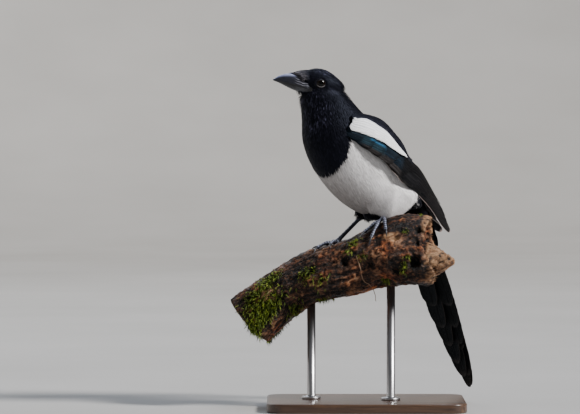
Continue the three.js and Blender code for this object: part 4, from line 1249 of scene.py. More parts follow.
def eyeball(side):
    """A ball that carries how far each point is from the middle of the iris."""
    rows, columns = 40, 48
    polar = np.linspace(0.02, np.pi - 0.02, rows)[:, None]
    around = circle(columns)[None]
    reach = EYE_RADIUS * np.sin(polar)
    rings = np.stack([reach * np.cos(around), side * (EYE_SIDE + EYE_RADIUS * np.cos(polar) + 0 * around),
                      reach * np.sin(around)], -1)
    ball = ringed(rings)
    y = ball["points"][:, 1] * side - EYE_SIDE
    away = np.hypot(ball["points"][:, 0], ball["points"][:, 2])
    ball["reach"] = np.where(y > 0, away / EYE_RADIUS, 1.0)
    return placed(ball, head_to_bird)


# The lid's section: distance out from the opening's edge, height over the eyeball or face, and paleness
LID_SECTION = [
    (-0.3, 0.05, 0.2),
    (-0.15, 0.3, 0.7),
    (0.05, 0.5, 1.0),
    (0.3, 0.55, 0.55),
    (0.6, 0.42, 0.08),
    (1.2, 0.36, 0.0),
    (1.9, 0.3, 0.0),
    (2.6, -0.3, 0.0),
    (2.0, -1.2, 0.0),
    (0.6, -0.8, 0.0),
]


def lids(side):
    """A ring of bare lid that hugs the eyeball and runs out under the feathers."""
    around = circle(96)[:, None]
    out, height, pale = (np.array(c)[None] for c in zip(*LID_SECTION))
    wide = EYE_OPENING[0] + out + 0.5 * np.abs(np.cos(around)) ** 6
    tall = EYE_OPENING[1] + out * 0.92
    turned = around - 0.14
    x, z = wide * np.cos(turned), tall * np.sin(turned)
    ball = EYE_SIDE + np.sqrt(np.maximum(EYE_RADIUS**2 - x**2 - z**2, 0.5))
    face = 15.3 - 0.012 * x**2 - 0.03 * (z + 1) ** 2
    wrinkle = 0.06 * np.sin(34 * around) * bump(0.1, 1.6, out, 0.3)
    y = mix(ball, face, step(0.3, 1.9, out)) + height + wrinkle
    points = np.stack([x, side * y, z], -1)
    rows, columns = points.shape[:2]
    faces = grid_faces(rows + 1, columns, wrap=True) % (rows * columns)
    low = 0.08 + 0.92 * step(-0.1, 0.8, -np.sin(turned))
    made = shape(points.reshape(-1, 3), [faces], rim=(pale * low * np.ones((rows, columns))).ravel())
    return placed(made, head_to_bird)


# Vanes of the wings, shoulders and tail


PALE_EDGE = np.array([0.13, 0.115, 0.11])
BRIGHT_EDGE = np.array([0.6, 0.5, 0.47])
# The vane's points across, from its outer edge over the shaft to its inner edge
VANE_COLUMNS = np.array([
    -1, -0.94, -0.85, -0.62, -0.36, -0.13, -0.045, 0, 0.045, 0.13, 0.36, 0.62, 0.86, 1,
])


def vane_colour(colour, t, x, edge, draw, rim_colour):
    """A vane's colour with a rim as worn as edge and draw say, its inner half darker as painted shade under
    the next vane, and a dark shaft.
    """
    rim = np.maximum(step(0.84, 0.95, -x), 0.5 * step(0.9, 1, x))
    worn = np.clip(edge * np.maximum(rim, step(0.95, 1, t)[:, None]) * draw, 0, 1)
    colour = mix(colour, rim_colour, worn[..., None])
    # Painted shade on the inner half, where the next vane lies over it
    colour = colour * mix(1.0, 0.55, step(0.1, 0.7, x)[..., None])
    return mix(colour, colour * 0.4, np.exp(-((x / 0.06) ** 2))[..., None])


def vane(place, width, rows, tint, cell, rng, roll=0.0, tip=0.7, lead=0.75, camber=0.12, edge=0.0,
         thick=0.36, fringe=0.05, shaft=0.22, rim_colour=PALE_EDGE):
    """One feather: a thin cambered plate with a shaft, its tip rounded from the share tip of its length.

    place(t) gives its middle line and the way out, and tint(t, x) its colour at shares t along, x across.
    cell is its own strip of the unwrap.
    """
    t = 1 - (1 - shares(rows)) ** 1.5
    at, out = place(t)
    way = unit(np.gradient(at, t, axis=0))
    side = unit(np.cross(out, way))
    across = side * math.cos(roll) - np.cross(way, side) * math.sin(roll)
    normal = np.cross(way, across)[:, None]
    x = VANE_COLUMNS[None]
    past = np.clip((t - tip) / (1 - tip), 0, 1)
    share = np.minimum(1, 0.45 + 2.6 * t) * np.sqrt(1 - 0.985 * past**2)
    length = np.linalg.norm(np.diff(at, axis=0), axis=1).sum()
    wear = 1 + fringe * noise(np.stack([t * length / 1.6, np.full(rows, rng.uniform(0, 99))], 1), 1.0)
    half = (width / 2 * share)[:, None] * np.where(np.abs(x) > 0.8, wear[:, None], 1)
    off = np.where(x < 0, x * lead, x * (2 - lead)) * half - (1 - lead) * half * 0.5
    rise = -camber * x**2 * half + shaft * np.exp(-((x / 0.06) ** 2)) * (1 - 0.75 * t[:, None])
    surface = at[:, None] + across[:, None] * off[..., None] + normal * rise[..., None]
    under = normal * (thick * (1 - 0.7 * np.abs(x)) * 0.5)[..., None]
    colour = tint(t[:, None] + 0 * x, x + 0 * half)
    colour = vane_colour(colour, t, x, edge, rng.uniform(0.5, 1.2), rim_colour)
    barb = (t * length)[:, None] + np.abs(off) * 1.3
    (u0, v0), (u1, v1) = cell
    uv = np.stack([mix(u0, u1, (x + 1) / 2) + 0 * half, mix(v0, v1, t[:, None]) + 0 * x], -1)

    def both(values):
        return np.concatenate([values.reshape(rows * len(VANE_COLUMNS), -1)] * 2)

    return plate(surface + under, surface - under, tint=both(colour), uv=both(uv), barb=both(barb)[:, 0])


def strip(index, total, low=0.0, high=1.0):
    """The strip of the unwrap, from low to high across, that one of a number of vanes takes."""
    columns = math.ceil(math.sqrt(total * 3))
    rows = math.ceil(total / columns)
    i, j = index % columns, index // columns
    wide, tall = (high - low) / columns, 1 / rows
    return (low + (i + 0.08) * wide, (j + 0.03) * tall), (low + (i + 0.92) * wide, (j + 0.97) * tall)


def wing_point(u, v):
    """Points of the folded wing's outer face, at shares u of its length and v of its height."""
    r = curve(WING, u)
    v = np.atleast_1d(v)[:, None]
    low, middle, high = (1 - v) * (1 - 2 * v), 4 * v * (1 - v), v * (2 * v - 1)
    made = low * r[:, 0:3] + middle * r[:, 3:6] + high * r[:, 6:9]
    return made - np.minimum(np.atleast_1d(u), 0)[:, None] * WING_LEAD


def wing_place(u, v, lift):
    """Places over the folded wing's outer face and the way out of it."""
    u, v, lift = np.broadcast_arrays(np.atleast_1d(u).astype(float), v, lift)
    e = 0.01
    safe = np.clip(u, 0.01, 0.97)
    lengthwise = wing_point(safe + e, v) - wing_point(safe - e, v)
    across = wing_point(safe, v + e) - wing_point(safe, v - e)
    out = unit(np.cross(across, lengthwise))
    out = np.where(out[:, 1:2] < 0, -out, out)
    return wing_point(u, v) + out * lift[:, None], out


BROWN_BLACK = np.array([0.0026, 0.0022, 0.0023])
SLATE = np.array([0.0065, 0.0115, 0.018])
TEAL = np.array([0.0028, 0.0085, 0.0155])
BLUE = np.array([0.026, 0.1, 0.19])
SHEEN = np.array([0.012, 0.028, 0.038])
GREY_BROWN = np.array([0.03, 0.026, 0.025])


def wing_tint(u, v, draw):
    """The wing's colours by place: a blue streak, teal round it, grey-brown coverts below, black behind."""
    teal = bump(0.16, 0.31, u, 0.05) * bump(0.2, 0.5, v, 0.08)
    blue = bump(0.09, 0.18, u, 0.025) * bump(0.13, 0.34, v, 0.04)
    bright = bump(0.115, 0.185, u, 0.012) * bump(0.285, 0.33, v, 0.02)
    brown = bump(0.11, 0.33, u, 0.04) * bump(-0.2, 0.12, v, 0.06)
    shoulder = bump(-0.2, 0.1, u, 0.05)
    colour = mix(BROWN_BLACK, SLATE, shoulder[..., None])
    colour = mix(colour, TEAL, teal[..., None])
    colour = mix(colour, GREY_BROWN, 0.8 * brown[..., None])
    colour = mix(colour, SHEEN, 0.85 * blue[..., None])
    colour = mix(colour, BLUE, 0.85 * bright[..., None])
    return colour * draw


def wing_vane(tier, k, cell, rng):
    """The vane of number k in a tier of the wing."""
    f = k / (tier["count"] - 1)
    root, tip = (mix(np.array(first), np.array(last), f) for first, last in (tier["roots"], tier["tips"]))
    reach = 1 + 0.02 * rng.uniform(-1, 1)
    lift = mix(*tier["raised"], f) + 0.06 * (k % 2)
    draw = rng.uniform(0.75, 1.3)
    covert = tier["edge"] < 0.2
    long = tier["tips"][0][0] - tier["roots"][0][0] > 0.22
    bright = k == 0 and "bright" in tier
    rim = dict(edge=1.4, rim_colour=BRIGHT_EDGE) if bright else dict(edge=tier["edge"])

    def place(t):
        u = mix(root[0], mix(root[0], tip[0], reach), t)
        height = mix(tier["sunk"], lift, ease(np.minimum(1, t * 1.6)))
        return wing_place(np.minimum(u, 0.995), mix(root[1], tip[1], t), height)

    def tint(t, x):
        v = mix(root[1], tip[1], t) + x * 0.05
        darker = mix(1.15, 0.5, covert * np.maximum(step(0.72, 1, t), step(0.6, 0.95, -x)))
        return wing_tint(mix(root[0], tip[0], t), v, draw) * darker[..., None]

    return vane(place, mix(*tier["width"], f), 30 if long else 16, tint, cell, rng, roll=WING_ROLL,
                tip=tier["tip"], lead=0.62 if long else 0.85, **rim)


def wing():
    """The left wing's vanes in the bird's frame."""
    rng = np.random.default_rng(11)
    total = sum(tier["count"] for tier in WING_TIERS.values())
    made = []
    for tier in WING_TIERS.values():
        for k in range(tier["count"]):
            made.append(wing_vane(tier, k, strip(len(made), total), rng))
    return joined(made)


def wing_core():
    """A thin sheet under the wing's vanes."""
    rows, columns = 24, 12
    share = np.repeat(shares(rows), columns)
    f = np.tile(shares(columns), rows)
    v = mix(0.02 + 0.3 * share**4, 1 - 0.3 * share**4, f)
    faces = [wing_place(share * WING_CORE_END, v, lift)[0].reshape(rows, columns, 3)
             for lift in (-0.9, -0.9 - mix(5, 1.6, ease(share)))]
    return plate(*faces, tint=np.tile(BROWN_BLACK, (2 * rows * columns, 1)))


def white_edges(u):
    """The low and high edges of the white shoulder feathers, as shares of the wing's height."""
    place, low, high = np.array(WHITE_EDGES).T
    return np.interp(u, place, low), np.interp(u, place, high)


def shoulder_lift(u):
    """The height of the shoulder's feathers over the wing, less towards their ends."""
    return mix(3.5, -0.9, step(0.3, 0.5, u))


def mantle_edges(u):
    """The low and high edges of the black feathers above the white ones."""
    behind = mix(0.6, 0.8, step(0.33, 0.5, u))
    return np.where(u < WHITE_END, white_edges(u)[1] + 0.05, behind + 0.02), 1.05 + 0 * u


def back_edges(u):
    """The edges of the feathers that lead from the shoulder down to the back."""
    return 1.04 + 0 * u, 1.24 + 0 * u


# Lanes of the black vanes: their band, share across it and lift
MANTLE_LANES = [
    (mantle_edges, 0.08, 0.6),
    (mantle_edges, 0.36, 0.6),
    (mantle_edges, 0.66, 0.6),
    (mantle_edges, 0.93, 0.6),
    (back_edges, 0.2, -2.2),
    (back_edges, 0.7, -5.2),
]
SCAPULAR_WHITE = np.array([0.86, 0.865, 0.885])


def shoulder_bed():
    """The sheet under the shoulder's feathers, white below and black towards the back."""
    rows, columns = 44, 24
    u = np.repeat(np.linspace(0, SHOULDER_END, rows), columns)
    low = np.where(u < WHITE_END, white_edges(u)[0] + 0.05, mantle_edges(u)[0] + 0.04)
    v = mix(low, 1.0 - 0.06 * step(0.1, 0, u), np.tile(shares(columns), rows))
    faces = [wing_place(u, v, lift)[0].reshape(rows, columns, 3)
             for lift in (shoulder_lift(u) - 0.5, mix(1.6, -2.4, step(0.3, 0.48, u)))]
    white = (v < white_edges(u)[1] - 0.02) & (u < 0.33)
    return plate(*faces, tint=np.tile(np.where(white[:, None], WHITE, BLACK), (2, 1)))


def shoulder_vane(start, reach, lane, band, width, lift, colour, shades, cell, rng):
    """A feather of the shoulder, in the given lane between the edges that band(u) gives.

    Its colour goes from the first of shades at the root to the second at the tip.
    """
    def place(t):
        u = start + reach * t
        height = mix(min(-0.6, lift - 0.8), lift, ease(t))
        return wing_place(u, mix(*band(u), lane), shoulder_lift(u) + height)

    def tint(t, x):
        return colour * mix(*shades, t)[..., None]

    return vane(place, width, 14, tint, cell, rng, tip=0.45, lead=0.95, camber=0.2, thick=0.4, fringe=0.12,
                shaft=0.05)


def scapulars():
    """Tiers of soft white vanes over the shoulder."""
    rng = np.random.default_rng(17)
    starts = np.linspace(-0.006, 0.235, 10)
    lanes = (0.15, 0.33, 0.5, 0.67, 0.85)
    made = []
    for i, start in enumerate(starts):
        for j, lane in enumerate(lanes):
            colour = SCAPULAR_WHITE * rng.uniform(0.94, 1.03)
            begin = start + 0.012 * (j % 2)
            low, high = white_edges(begin + 0.06)
            width = max(3.2, 19 * (high - low)) * rng.uniform(0.9, 1.1)
            cell = strip(len(made), len(starts) * len(lanes))
            made.append(shoulder_vane(begin, 0.1 + 0.01 * (j % 3), lane, white_edges, width, 0.4 - 0.04 * i,
                                      colour, (0.86, 1.02), cell, rng))
    return joined(made)


def mantle():
    """Black vanes over the white ones' upper edge, and sunk ones that lead from there down to the back."""
    rng = np.random.default_rng(19)
    starts = np.linspace(-0.03, 0.4, 15)
    made = []
    for i, start in enumerate(starts):
        for j, (band, lane, lift) in enumerate(MANTLE_LANES):
            colour = BLACK * rng.uniform(0.6, 1.6)
            cell = strip(len(made), len(starts) * len(MANTLE_LANES))
            width = rng.uniform(7, 8.5) * (1 - 0.3 * (i > 11))
            made.append(shoulder_vane(start + 0.015 * (j % 2), 0.1, lane, band, width, lift - 0.02 * i,
                                      colour, (0.8, 1.3), cell, rng))
    return joined(made)


def tail_axes():
    """The ways along the tail, to its left and out of its upper side."""
    along = unit(TAIL_TIP - TAIL_AT)
    up = unit(np.cross([0, 1, 0], along))
    up = -up if up[0] > 0 else up
    twist = math.radians(TAIL_TWIST)
    side = np.array([0, 1, 0]) * math.cos(twist) + up * math.sin(twist)
    return along, side, unit(np.cross(side, along))


TAIL_ALONG, TAIL_SIDE, TAIL_OUT = tail_axes()


def tail_place(d, s, h):
    """Places on the tail: d along it, s to the left, h above its middle layer, with a slight bow."""
    bow = 3.2 * np.sin(np.pi * np.clip(d, 0, 216) / 216)
    d, s, h = (np.asarray(v, float)[..., None] for v in np.broadcast_arrays(d, s, h + bow))
    at = TAIL_AT + TAIL_ALONG * d + TAIL_SIDE * s + TAIL_OUT * h
    return at, np.broadcast_to(TAIL_OUT, at.shape)


TAIL_GREEN = np.array([0.0018, 0.003, 0.0028])
TAIL_BLUE = np.array([0.0018, 0.0022, 0.0042])
WORN_BROWN = np.array([0.007, 0.0045, 0.0035])
# The feathers over and under the tail's root: side, start, reach, and height at the root and at the tip
TAIL_COVERTS = {
    True: dict(face=1, start=4, reach=66, rise=6.4, end=8.0),
    False: dict(face=-1, start=8, reach=74, rise=8.4, end=7.2),
}


def tail_vane(side, pair, length, cell, rng):
    """One of the tail's long vanes."""
    layer = (4.5 - 2 * pair + (1 if side > 0 else 0)) * TAIL_LAYER
    offset = side * (TAIL_OFFSET[0] + TAIL_OFFSET[1] * pair)
    draw = rng.uniform(0.8, 1.2)

    def place(t):
        d = mix(20, length, t)
        spread = mix(0.45, 1, ease(d / 120))
        return tail_place(d, offset * spread, layer * mix(0.5, 1, ease(t)))

    def tint(t, x):
        colour = mix(TAIL_GREEN, TAIL_BLUE, step(0.55, 0.85, t)[..., None])
        worn = step(0.84, 1.0, t * length / 215) * 0.8 + 0.4 * step(0.8, 1, np.abs(x))
        return mix(colour, WORN_BROWN, worn.clip(0, 1)[..., None]) * draw

    return vane(place, mix(*TAIL_WIDTHS, pair / 5), 44, tint, cell, rng, tip=0.82 if pair else 0.7,
                lead=0.8 if pair else 0.98, camber=0.06, edge=0.25, fringe=0.045, shaft=0.35)


def tail_vanes():
    rng = np.random.default_rng(23)
    made = []
    for side, lengths in TAIL_LENGTHS.items():
        for pair, length in enumerate(lengths):
            made.append(tail_vane(side, pair, length, strip(len(made), 12, 0.0, 0.6), rng))
    return made


def tail_covert(above, tier, k, cell, rng):
    """One of the feathers over or under the tail's root, k steps from the middle."""
    looks = TAIL_COVERTS[above]
    reach = looks["reach"] - 5 * abs(k) - 14 * tier + rng.uniform(-2, 2)
    colour = BLACK * 1.2 * rng.uniform(0.7, 1.4)

    def place(t):
        d = mix(looks["start"], reach, t)
        root = looks["rise"] - 0.35 * k * k - 1
        height = mix(root, looks["end"] + 0.5 * tier, ease(t)) - 0.3 * abs(k)
        at, out = tail_place(d, k * mix(7, 5.6, t), looks["face"] * height)
        return at, out * looks["face"]

    def tint(t, x):
        return np.broadcast_to(colour, (*t.shape, 3))

    return vane(place, 11, 16, tint, cell, rng, tip=0.5, lead=0.95, camber=0.2, fringe=0.1)


def tail_coverts(above):
    rng = np.random.default_rng(29 + above)
    made = []
    for tier in range(3):
        for k in np.linspace(-1.7, 1.7, 7):
            cell = strip(len(made) + 21 * above, 42, 0.62, 1.0)
            made.append(tail_covert(above, tier, k, cell, rng))
    return made


def tail_root():
    """The dark body that the tail's vanes come out of."""
    rows = [(-4, 15, 9, 10), (10, 18, 9, 11), (26, 17, 7, 9), (42, 13, 4.5, 6), (52, 8, 2.6, 3.6)]
    d, half, high, low = (c[:, None] for c in curve(rows, shares(16)).T)
    a = circle(24)
    tall = np.sin(a) * np.where(np.sin(a) > 0, high, low)
    body = ringed(tail_place(d + 0 * a, np.cos(a) * half, tall)[0])
    count = len(body["points"])
    body["tint"] = np.tile(BLACK, (count, 1))
    body["uv"] = np.full((count, 2), 0.61)
    body["barb"] = np.zeros(count)
    return body


# The branch


def branch_bumps(t, a):
    """The limb's radius at share t along it and angle a round it, as a share of its mean."""
    waves = 1 + 0.035 * np.sin(2 * a + 9 * t) + 0.03 * np.sin(3 * a - 14 * t + 1)
    return waves + 0.02 * np.sin(5 * a + 23 * t)


def prong_bumps(t, a):
    return 1 + 0.12 * np.sin(3 * a + 8 * t)


def branch_frame(rows, t):
    """The middle line's place and radius at shares t, and the ways along it, up and to the front."""
    e = 0.01
    before, here, after = curve(rows, t - e), curve(rows, t), curve(rows, t + e)
    along = unit(after[:, :3] - before[:, :3])
    up = unit(np.array([0, 0, 1.0]) - along * along[:, 2:3])
    return here[:, :3], here[:, 3], along, up, np.cross(along, up)


def branch_place(t, a, lift, rows=BRANCH, bumps=branch_bumps):
    """Places over the bark at share t along it and angle a round it, and the way out."""
    t, a, lift = np.broadcast_arrays(np.atleast_1d(t).astype(float), a, lift)
    at, radius, _, up, front = branch_frame(rows, t)
    out = up * np.cos(a)[:, None] + front * np.sin(a)[:, None]
    return at + out * (radius * bumps(t, a) + lift)[:, None], out


def on_branch(x, degrees, lift):
    """The place over the bark at a given x and a given angle round the branch, and the way out."""
    x, a, lift = np.broadcast_arrays(np.atleast_1d(x).astype(float), np.radians(degrees), lift)
    low, high = np.zeros(len(x)), np.ones(len(x))
    for _ in range(24):
        middle = (low + high) / 2
        short = branch_place(middle, a, lift)[0][:, 0] < x
        low, high = np.where(short, middle, low), np.where(short, high, middle)
    return branch_place(low, a, lift)


def break_reach(a):
    """How far the broken end reaches at angles a round the branch."""
    steps = len(BREAK_REACH)
    return np.interp(a / (2 * np.pi) * steps, np.arange(steps + 1), [*BREAK_REACH, BREAK_REACH[0]])


def branch_body():
    """The branch as one closed surface: the limb with its hollow broken end, and the prong below it."""
    a = circle(100)
    rings = [branch_place(0 * a + t, a, 0)[0] for t in shares(90)]
    along = branch_frame(BRANCH, np.array([1.0]))[2][0]
    reach = break_reach(a) + 1.6 * noise(np.stack([a * 9, 0 * a], 1), 1.0, seed=3)
    for share, rise, depth in BREAK_RINGS:
        rim = branch_place(0 * a + 1, a, rise)[0]
        rings.append(rim + along * (reach * share - depth)[:, None])
    t = np.repeat(shares(30), 40)
    prong = branch_place(t, np.tile(circle(40), 30), 0, PRONG, prong_bumps)[0].reshape(30, 40, 3)
    return fused([ringed(np.stack(rings)), ringed(prong)], BARK_VOXEL, 2)


# Places on the bark, as x and the angle from the top towards the front, each with its reach in millimetres,
# and also a depth for a pit and a number of leaves for moss
BARE_PATCHES = [((25, 55), (10, 4.5)), ((30, 64), (6, 3))]
PITS = [
    ((21, 32), 3.5, 4), ((50, 107), 7, 7), ((-23, 77), 5, 4), ((31, 125), 5, 4), ((53, 76), 3, 3),
    ((9, 24), 3, 3), ((-58, 70), 5, 3), ((4, 100), 4, 3), ((60, 52), 5, 5),
]
MOSS = [
    ((-114, 60), 15, 900), ((-102, 95), 14, 800), ((-116, 105), 14, 800), ((-98, 45), 8, 260),
    ((-62, 80), 9, 130), ((-48, 100), 7, 80), ((-12, 42), 5.5, 130), ((-18, 58), 4, 70),
    ((-4, 78), 3.5, 45), ((43, 98), 2.5, 30), ((39, 112), 3, 40), ((38, 122), 3, 34),
    ((40, 54), 3.2, 34), ((58, 2), 3.5, 34), ((-75, 150), 9, 110), ((-45, 150), 7, 70),
    ((-100, 200), 14, 260), ((-95, 280), 13, 160), ((-40, 215), 9, 90), ((15, 240), 7, 60),
    ((20, 150), 6, 50),
]
MOSS_GREEN = np.array([0.09, 0.17, 0.01])
MOSS_YELLOW = np.array([0.36, 0.46, 0.03])
MOSS_DROOP = 0.5
SPLINTER_COUNT = 170
ROOTLET = [(-11, 76), (-8, 92), (-6, 104), (-5, 118), (-3, 130), (2, 142), (5, 156), (7, 170)]
ROOTLET_ROWS = 70


def bark_relief(points, lengthwise, angle):
    """The bark's height by place, and the finer noises in it that its other marks use too."""
    around = np.stack([np.cos(angle), np.sin(angle)], 1) * 30
    swirl = 5 * noise(points, 22, seed=8)
    ridges = 1 - 2 * np.abs(noise(np.column_stack([lengthwise / 5 + swirl, around]), 5.5, seed=1))
    strands = 1 - 2 * np.abs(noise(np.column_stack([lengthwise / 4 + swirl, around]), 2.4, seed=4))
    crumbs = noise(points, 3.2, seed=6)
    fine = noise(points, 1.5, seed=7)
    height = 0.9 * noise(points, 15, seed=2) + 0.95 * ridges + 0.6 * strands + 0.75 * crumbs + 0.4 * fine
    return height, strands, crumbs, fine


def bare_patches(points, along, crumbs):
    """1 where the bark is worn off, 0 elsewhere."""
    bare = np.zeros(len(points))
    last = len(along) - 1
    for (x, degrees), (long, wide) in BARE_PATCHES:
        d = points - on_branch(x, degrees, 0)[0][0]
        way = along[min(int((x - BRANCH[0][0]) / (BRANCH[-1][0] - BRANCH[0][0]) * last), last)]
        lengthways = d @ way
        across = np.linalg.norm(d - np.outer(lengthways, way), axis=1)
        reach = np.hypot(lengthways / long, across / wide)
        bare = np.maximum(bare, 1 - step(0.7, 1.15, reach + 0.25 * crumbs))
    return bare


def bark(toes):
    """The branch with its bark, bare wood, pits and two ends, left low under the toes."""
    points, quads, normals = branch_body()
    t = shares(BARK_SAMPLES)
    at, _, along, _, _ = branch_frame(BRANCH, t)
    i, past, away, angle = round_branch(points, t)
    lengthwise = t[i] * BRANCH_LENGTH + past
    core = np.linalg.norm(away, axis=1)
    height, strands, crumbs, fine = bark_relief(points, lengthwise, angle)
    bare = bare_patches(points, along, crumbs)
    for (x, degrees), reach, depth in PITS:
        d = np.linalg.norm(points - on_branch(x, degrees, 0)[0][0], axis=1) / reach + 0.25 * crumbs
        height -= depth * (1 - step(0.2, 1.15, d))
    height = mix(height, -0.8 + 0.45 * strands + 0.25 * fine, bare)
    from_cut = np.abs((points - at[0]) @ along[0])
    ends = 1 - step(0.5, 1.2, from_cut + 0.6 * (core > 40))
    broken = step(206, 209, lengthwise) * (1 - step(0.97, 1.0, normals @ np.array([0, -1.0, 0])))
    bare = np.maximum(bare, 0.62 * broken * step(-0.6, 0.3, crumbs + 0.4 * strands))
    near = np.full(len(points), 99.0)
    for spot in itertools.chain(*(path[::2] for path in toes)):
        near = np.minimum(near, np.linalg.norm(points - spot, axis=1))
    free = step(3.0, 7.5, near) * (1 - ends)
    moved = np.clip(np.where(height > 0, height * 0.9, height * 1.15) * free, -9, 1.9)
    return shape(points + normals * moved[:, None], [quads], height=np.clip((height + 2.6) / 4.8, 0, 1),
                 bare=bare, ends=ends, core=core)


def blades(roots, normals, lengths, halves, tints, rng):
    """Small curved leaves that stand out of a surface and droop."""
    count = len(roots)
    way = unit(normals + 0.75 * rng.normal(0, 1, (count, 3)))
    s = shares(4)
    paths = roots[:, None] + way[:, None] * (lengths[:, None] * s)[..., None]
    paths = paths + np.array([0, 0, -1.0]) * (MOSS_DROOP * lengths[:, None] * s**2)[..., None]
    along = unit(np.gradient(paths, axis=1))
    sides = unit(np.cross(along, rng.normal(0, 1, (count, 1, 3))))
    halves = halves[:, None] * np.array([0.6, 1, 0.8, 0])
    tint = tints[:, None] * np.linspace(0.55, 1.15, 4)[None, :, None]
    return tufts(paths, sides, np.cross(along, sides), halves, 0.3, tint, inset(rng.random((count, 2))))


def moss():
    """Patches of small leaves, two for each root."""
    rng = np.random.default_rng(41)
    made = []
    for (x, degrees), reach, count in MOSS:
        spread = rng.normal(0, 0.5, (2, count)) * reach
        angle = degrees + np.degrees(spread[1] / 29)
        roots, out = on_branch(x + spread[0], angle, rng.uniform(-1.2, 0.6, count))
        lengths = rng.uniform(1.8, 5.6, count)
        tints = mix(MOSS_GREEN * 0.5, MOSS_YELLOW, rng.beta(1.6, 2.2, (count, 1)))
        for _ in range(2):
            made.append(blades(roots, out, lengths, rng.uniform(0.18, 0.34, count), tints, rng))
    return joined(made)


def splinters():
    """Slivers of torn wood round the broken end and the prong."""
    rng = np.random.default_rng(43)
    count = SPLINTER_COUNT
    a = rng.uniform(0, 2 * np.pi, count)
    along = branch_frame(BRANCH, np.array([1.0]))[2][0]
    roots, out = branch_place(np.full(count, 1.0), a, rng.uniform(-6.5, -2.2, count))
    roots = roots + along * (break_reach(a) - 4)[:, None]
    lengths = rng.uniform(3, 8, count)
    way = unit(along + 0.12 * rng.normal(0, 1, (count, 3)))
    s = shares(4)
    paths = roots[:, None] + way[:, None] * (lengths[:, None] * s)[..., None]
    sides = np.repeat(unit(np.cross(way, out))[:, None], 4, 1)
    tops = np.repeat(out[:, None], 4, 1)
    halves = rng.uniform(0.35, 0.9, count)[:, None] * np.array([1, 0.85, 0.6, 0])
    tint = mix(np.array([0.07, 0.03, 0.014]), np.array([0.42, 0.22, 0.11]), rng.random((count, 1)))
    tint = np.repeat(tint[:, None], 4, 1)
    return tufts(paths, sides, tops, halves, 0.7, tint, inset(rng.random((count, 2))))


def sweep(path, radii, sides, ups, relief=0.0):
    """A round body along a path. relief adds to its radius, by row and by angle from one side upwards."""
    way = unit(np.gradient(path, axis=0))
    up = unit(ups - dot(ups, way) * way)
    side = np.cross(way, up)
    a = circle(sides)[None]
    radius = np.asarray(radii)[:, None] + 0 * a + relief
    rings = path[:, None] + side[:, None] * (np.cos(a) * radius)[..., None]
    return ringed(rings + up[:, None] * (np.sin(a) * radius)[..., None])


def rootlet():
    """The thin root that lies over the bark and hangs free at its end."""
    x, degrees = np.array(ROOTLET, float).T
    laid, _ = on_branch(x, degrees, 0.9)
    free = laid[-1] + np.array([[1.5, -0.5, -4], [2.6, -0.5, -9], [3.2, -0.4, -14]])
    share = shares(ROOTLET_ROWS)
    path = curve(np.concatenate([laid, free]), share)
    wobble = 0.5 * np.stack([noise(path, 4, seed=k) for k in range(3)], 1)
    ups = np.tile([0.3, -1.0, 0.2], (ROOTLET_ROWS, 1))
    made = sweep(path + wobble, mix(0.65, 0.28, share), 7, ups)
    count = len(made["points"])
    made["tint"] = np.tile([0.24, 0.14, 0.085], (count, 1))
    made["uv"] = np.random.default_rng(3).random((count, 2))
    made["soft"] = np.zeros((count, 3))
    return made


# Legs, feet and claws, in the part's frame

TOE_STEPS = 64
TOE_PLATE = 2.8
SHIN_PLATES = 9


def toe_path(palm, to, steps):
    """A toe's middle line, from the ball of the foot to its end, and the way up from the bark."""
    s = shares(steps)
    lift = GAP + TOE_RADIUS * mix(1.15, 0.9, s) + 0.9 * np.sin(np.pi * s)
    return on_branch(mix(palm[0], to[0], s), mix(palm[1], to[1], s), lift)


def saw(s, count):
    """A row of overlapping plates: rises along each and drops at its end."""
    return (s * count) % 1.0


def foot(limb):
    """The ball of the foot and its toes, with a row of plates along the top of each."""
    at, _ = on_branch(*limb["palm"], PALM_LIFT)
    around = np.linspace(0.05, np.pi - 0.05, 14)[:, None]
    a = circle(20)
    ball = np.stack([np.sin(around) * np.cos(a), np.sin(around) * np.sin(a), np.cos(around) + 0 * a], -1)
    parts = [ringed(ball * BALL_RADIUS + at[0])]
    s = shares(TOE_STEPS)
    for to, _ in limb["toes"]:
        path, ups = toe_path(limb["palm"], to, TOE_STEPS)
        radii = TOE_RADIUS * mix(1.12, 0.86, s) * (1 + 0.17 * np.cos(4 * np.pi * s))
        length = np.linalg.norm(np.diff(path, axis=0), axis=1).sum()
        a = circle(18)[None]
        top = np.clip(np.sin(a), 0, 1) ** 0.7
        plates = 0.42 * saw(s, length / TOE_PLATE)[:, None] * top
        pads = 0.22 * np.cos(4 * np.pi * s)[:, None] * np.clip(-np.sin(a), 0, 1)
        parts.append(sweep(path, radii - 0.12, 18, ups, plates + pads))
    points, quads, _ = fused(parts, 0.36, 1)
    return shape(points, [quads], plate=toe_highlights(points, limb))


def toe_highlights(points, limb):
    """1 where the plates along the top of each toe get a painted highlight, 0 between them and on the soles.
    """
    best, plate_at = np.full(len(points), 99.0), np.zeros(len(points))
    for to, _ in limb["toes"]:
        path, ups = toe_path(limb["palm"], to, TOE_STEPS)
        d = points[:, None, :] - path[None]
        i = (d**2).sum(-1).argmin(1)
        away = points - path[i]
        reach = np.linalg.norm(away, axis=1)
        length = np.linalg.norm(np.diff(path, axis=0), axis=1).sum()
        along = saw(i / (TOE_STEPS - 1), length / TOE_PLATE)
        top = (away * ups[i]).sum(1) / np.maximum(reach, 0.1)
        here = bump(0.5, 0.97, along, 0.12) * step(0.0, 0.6, top)
        closer = reach < best
        best, plate_at = np.where(closer, reach, best), np.where(closer, here, plate_at)
    return plate_at


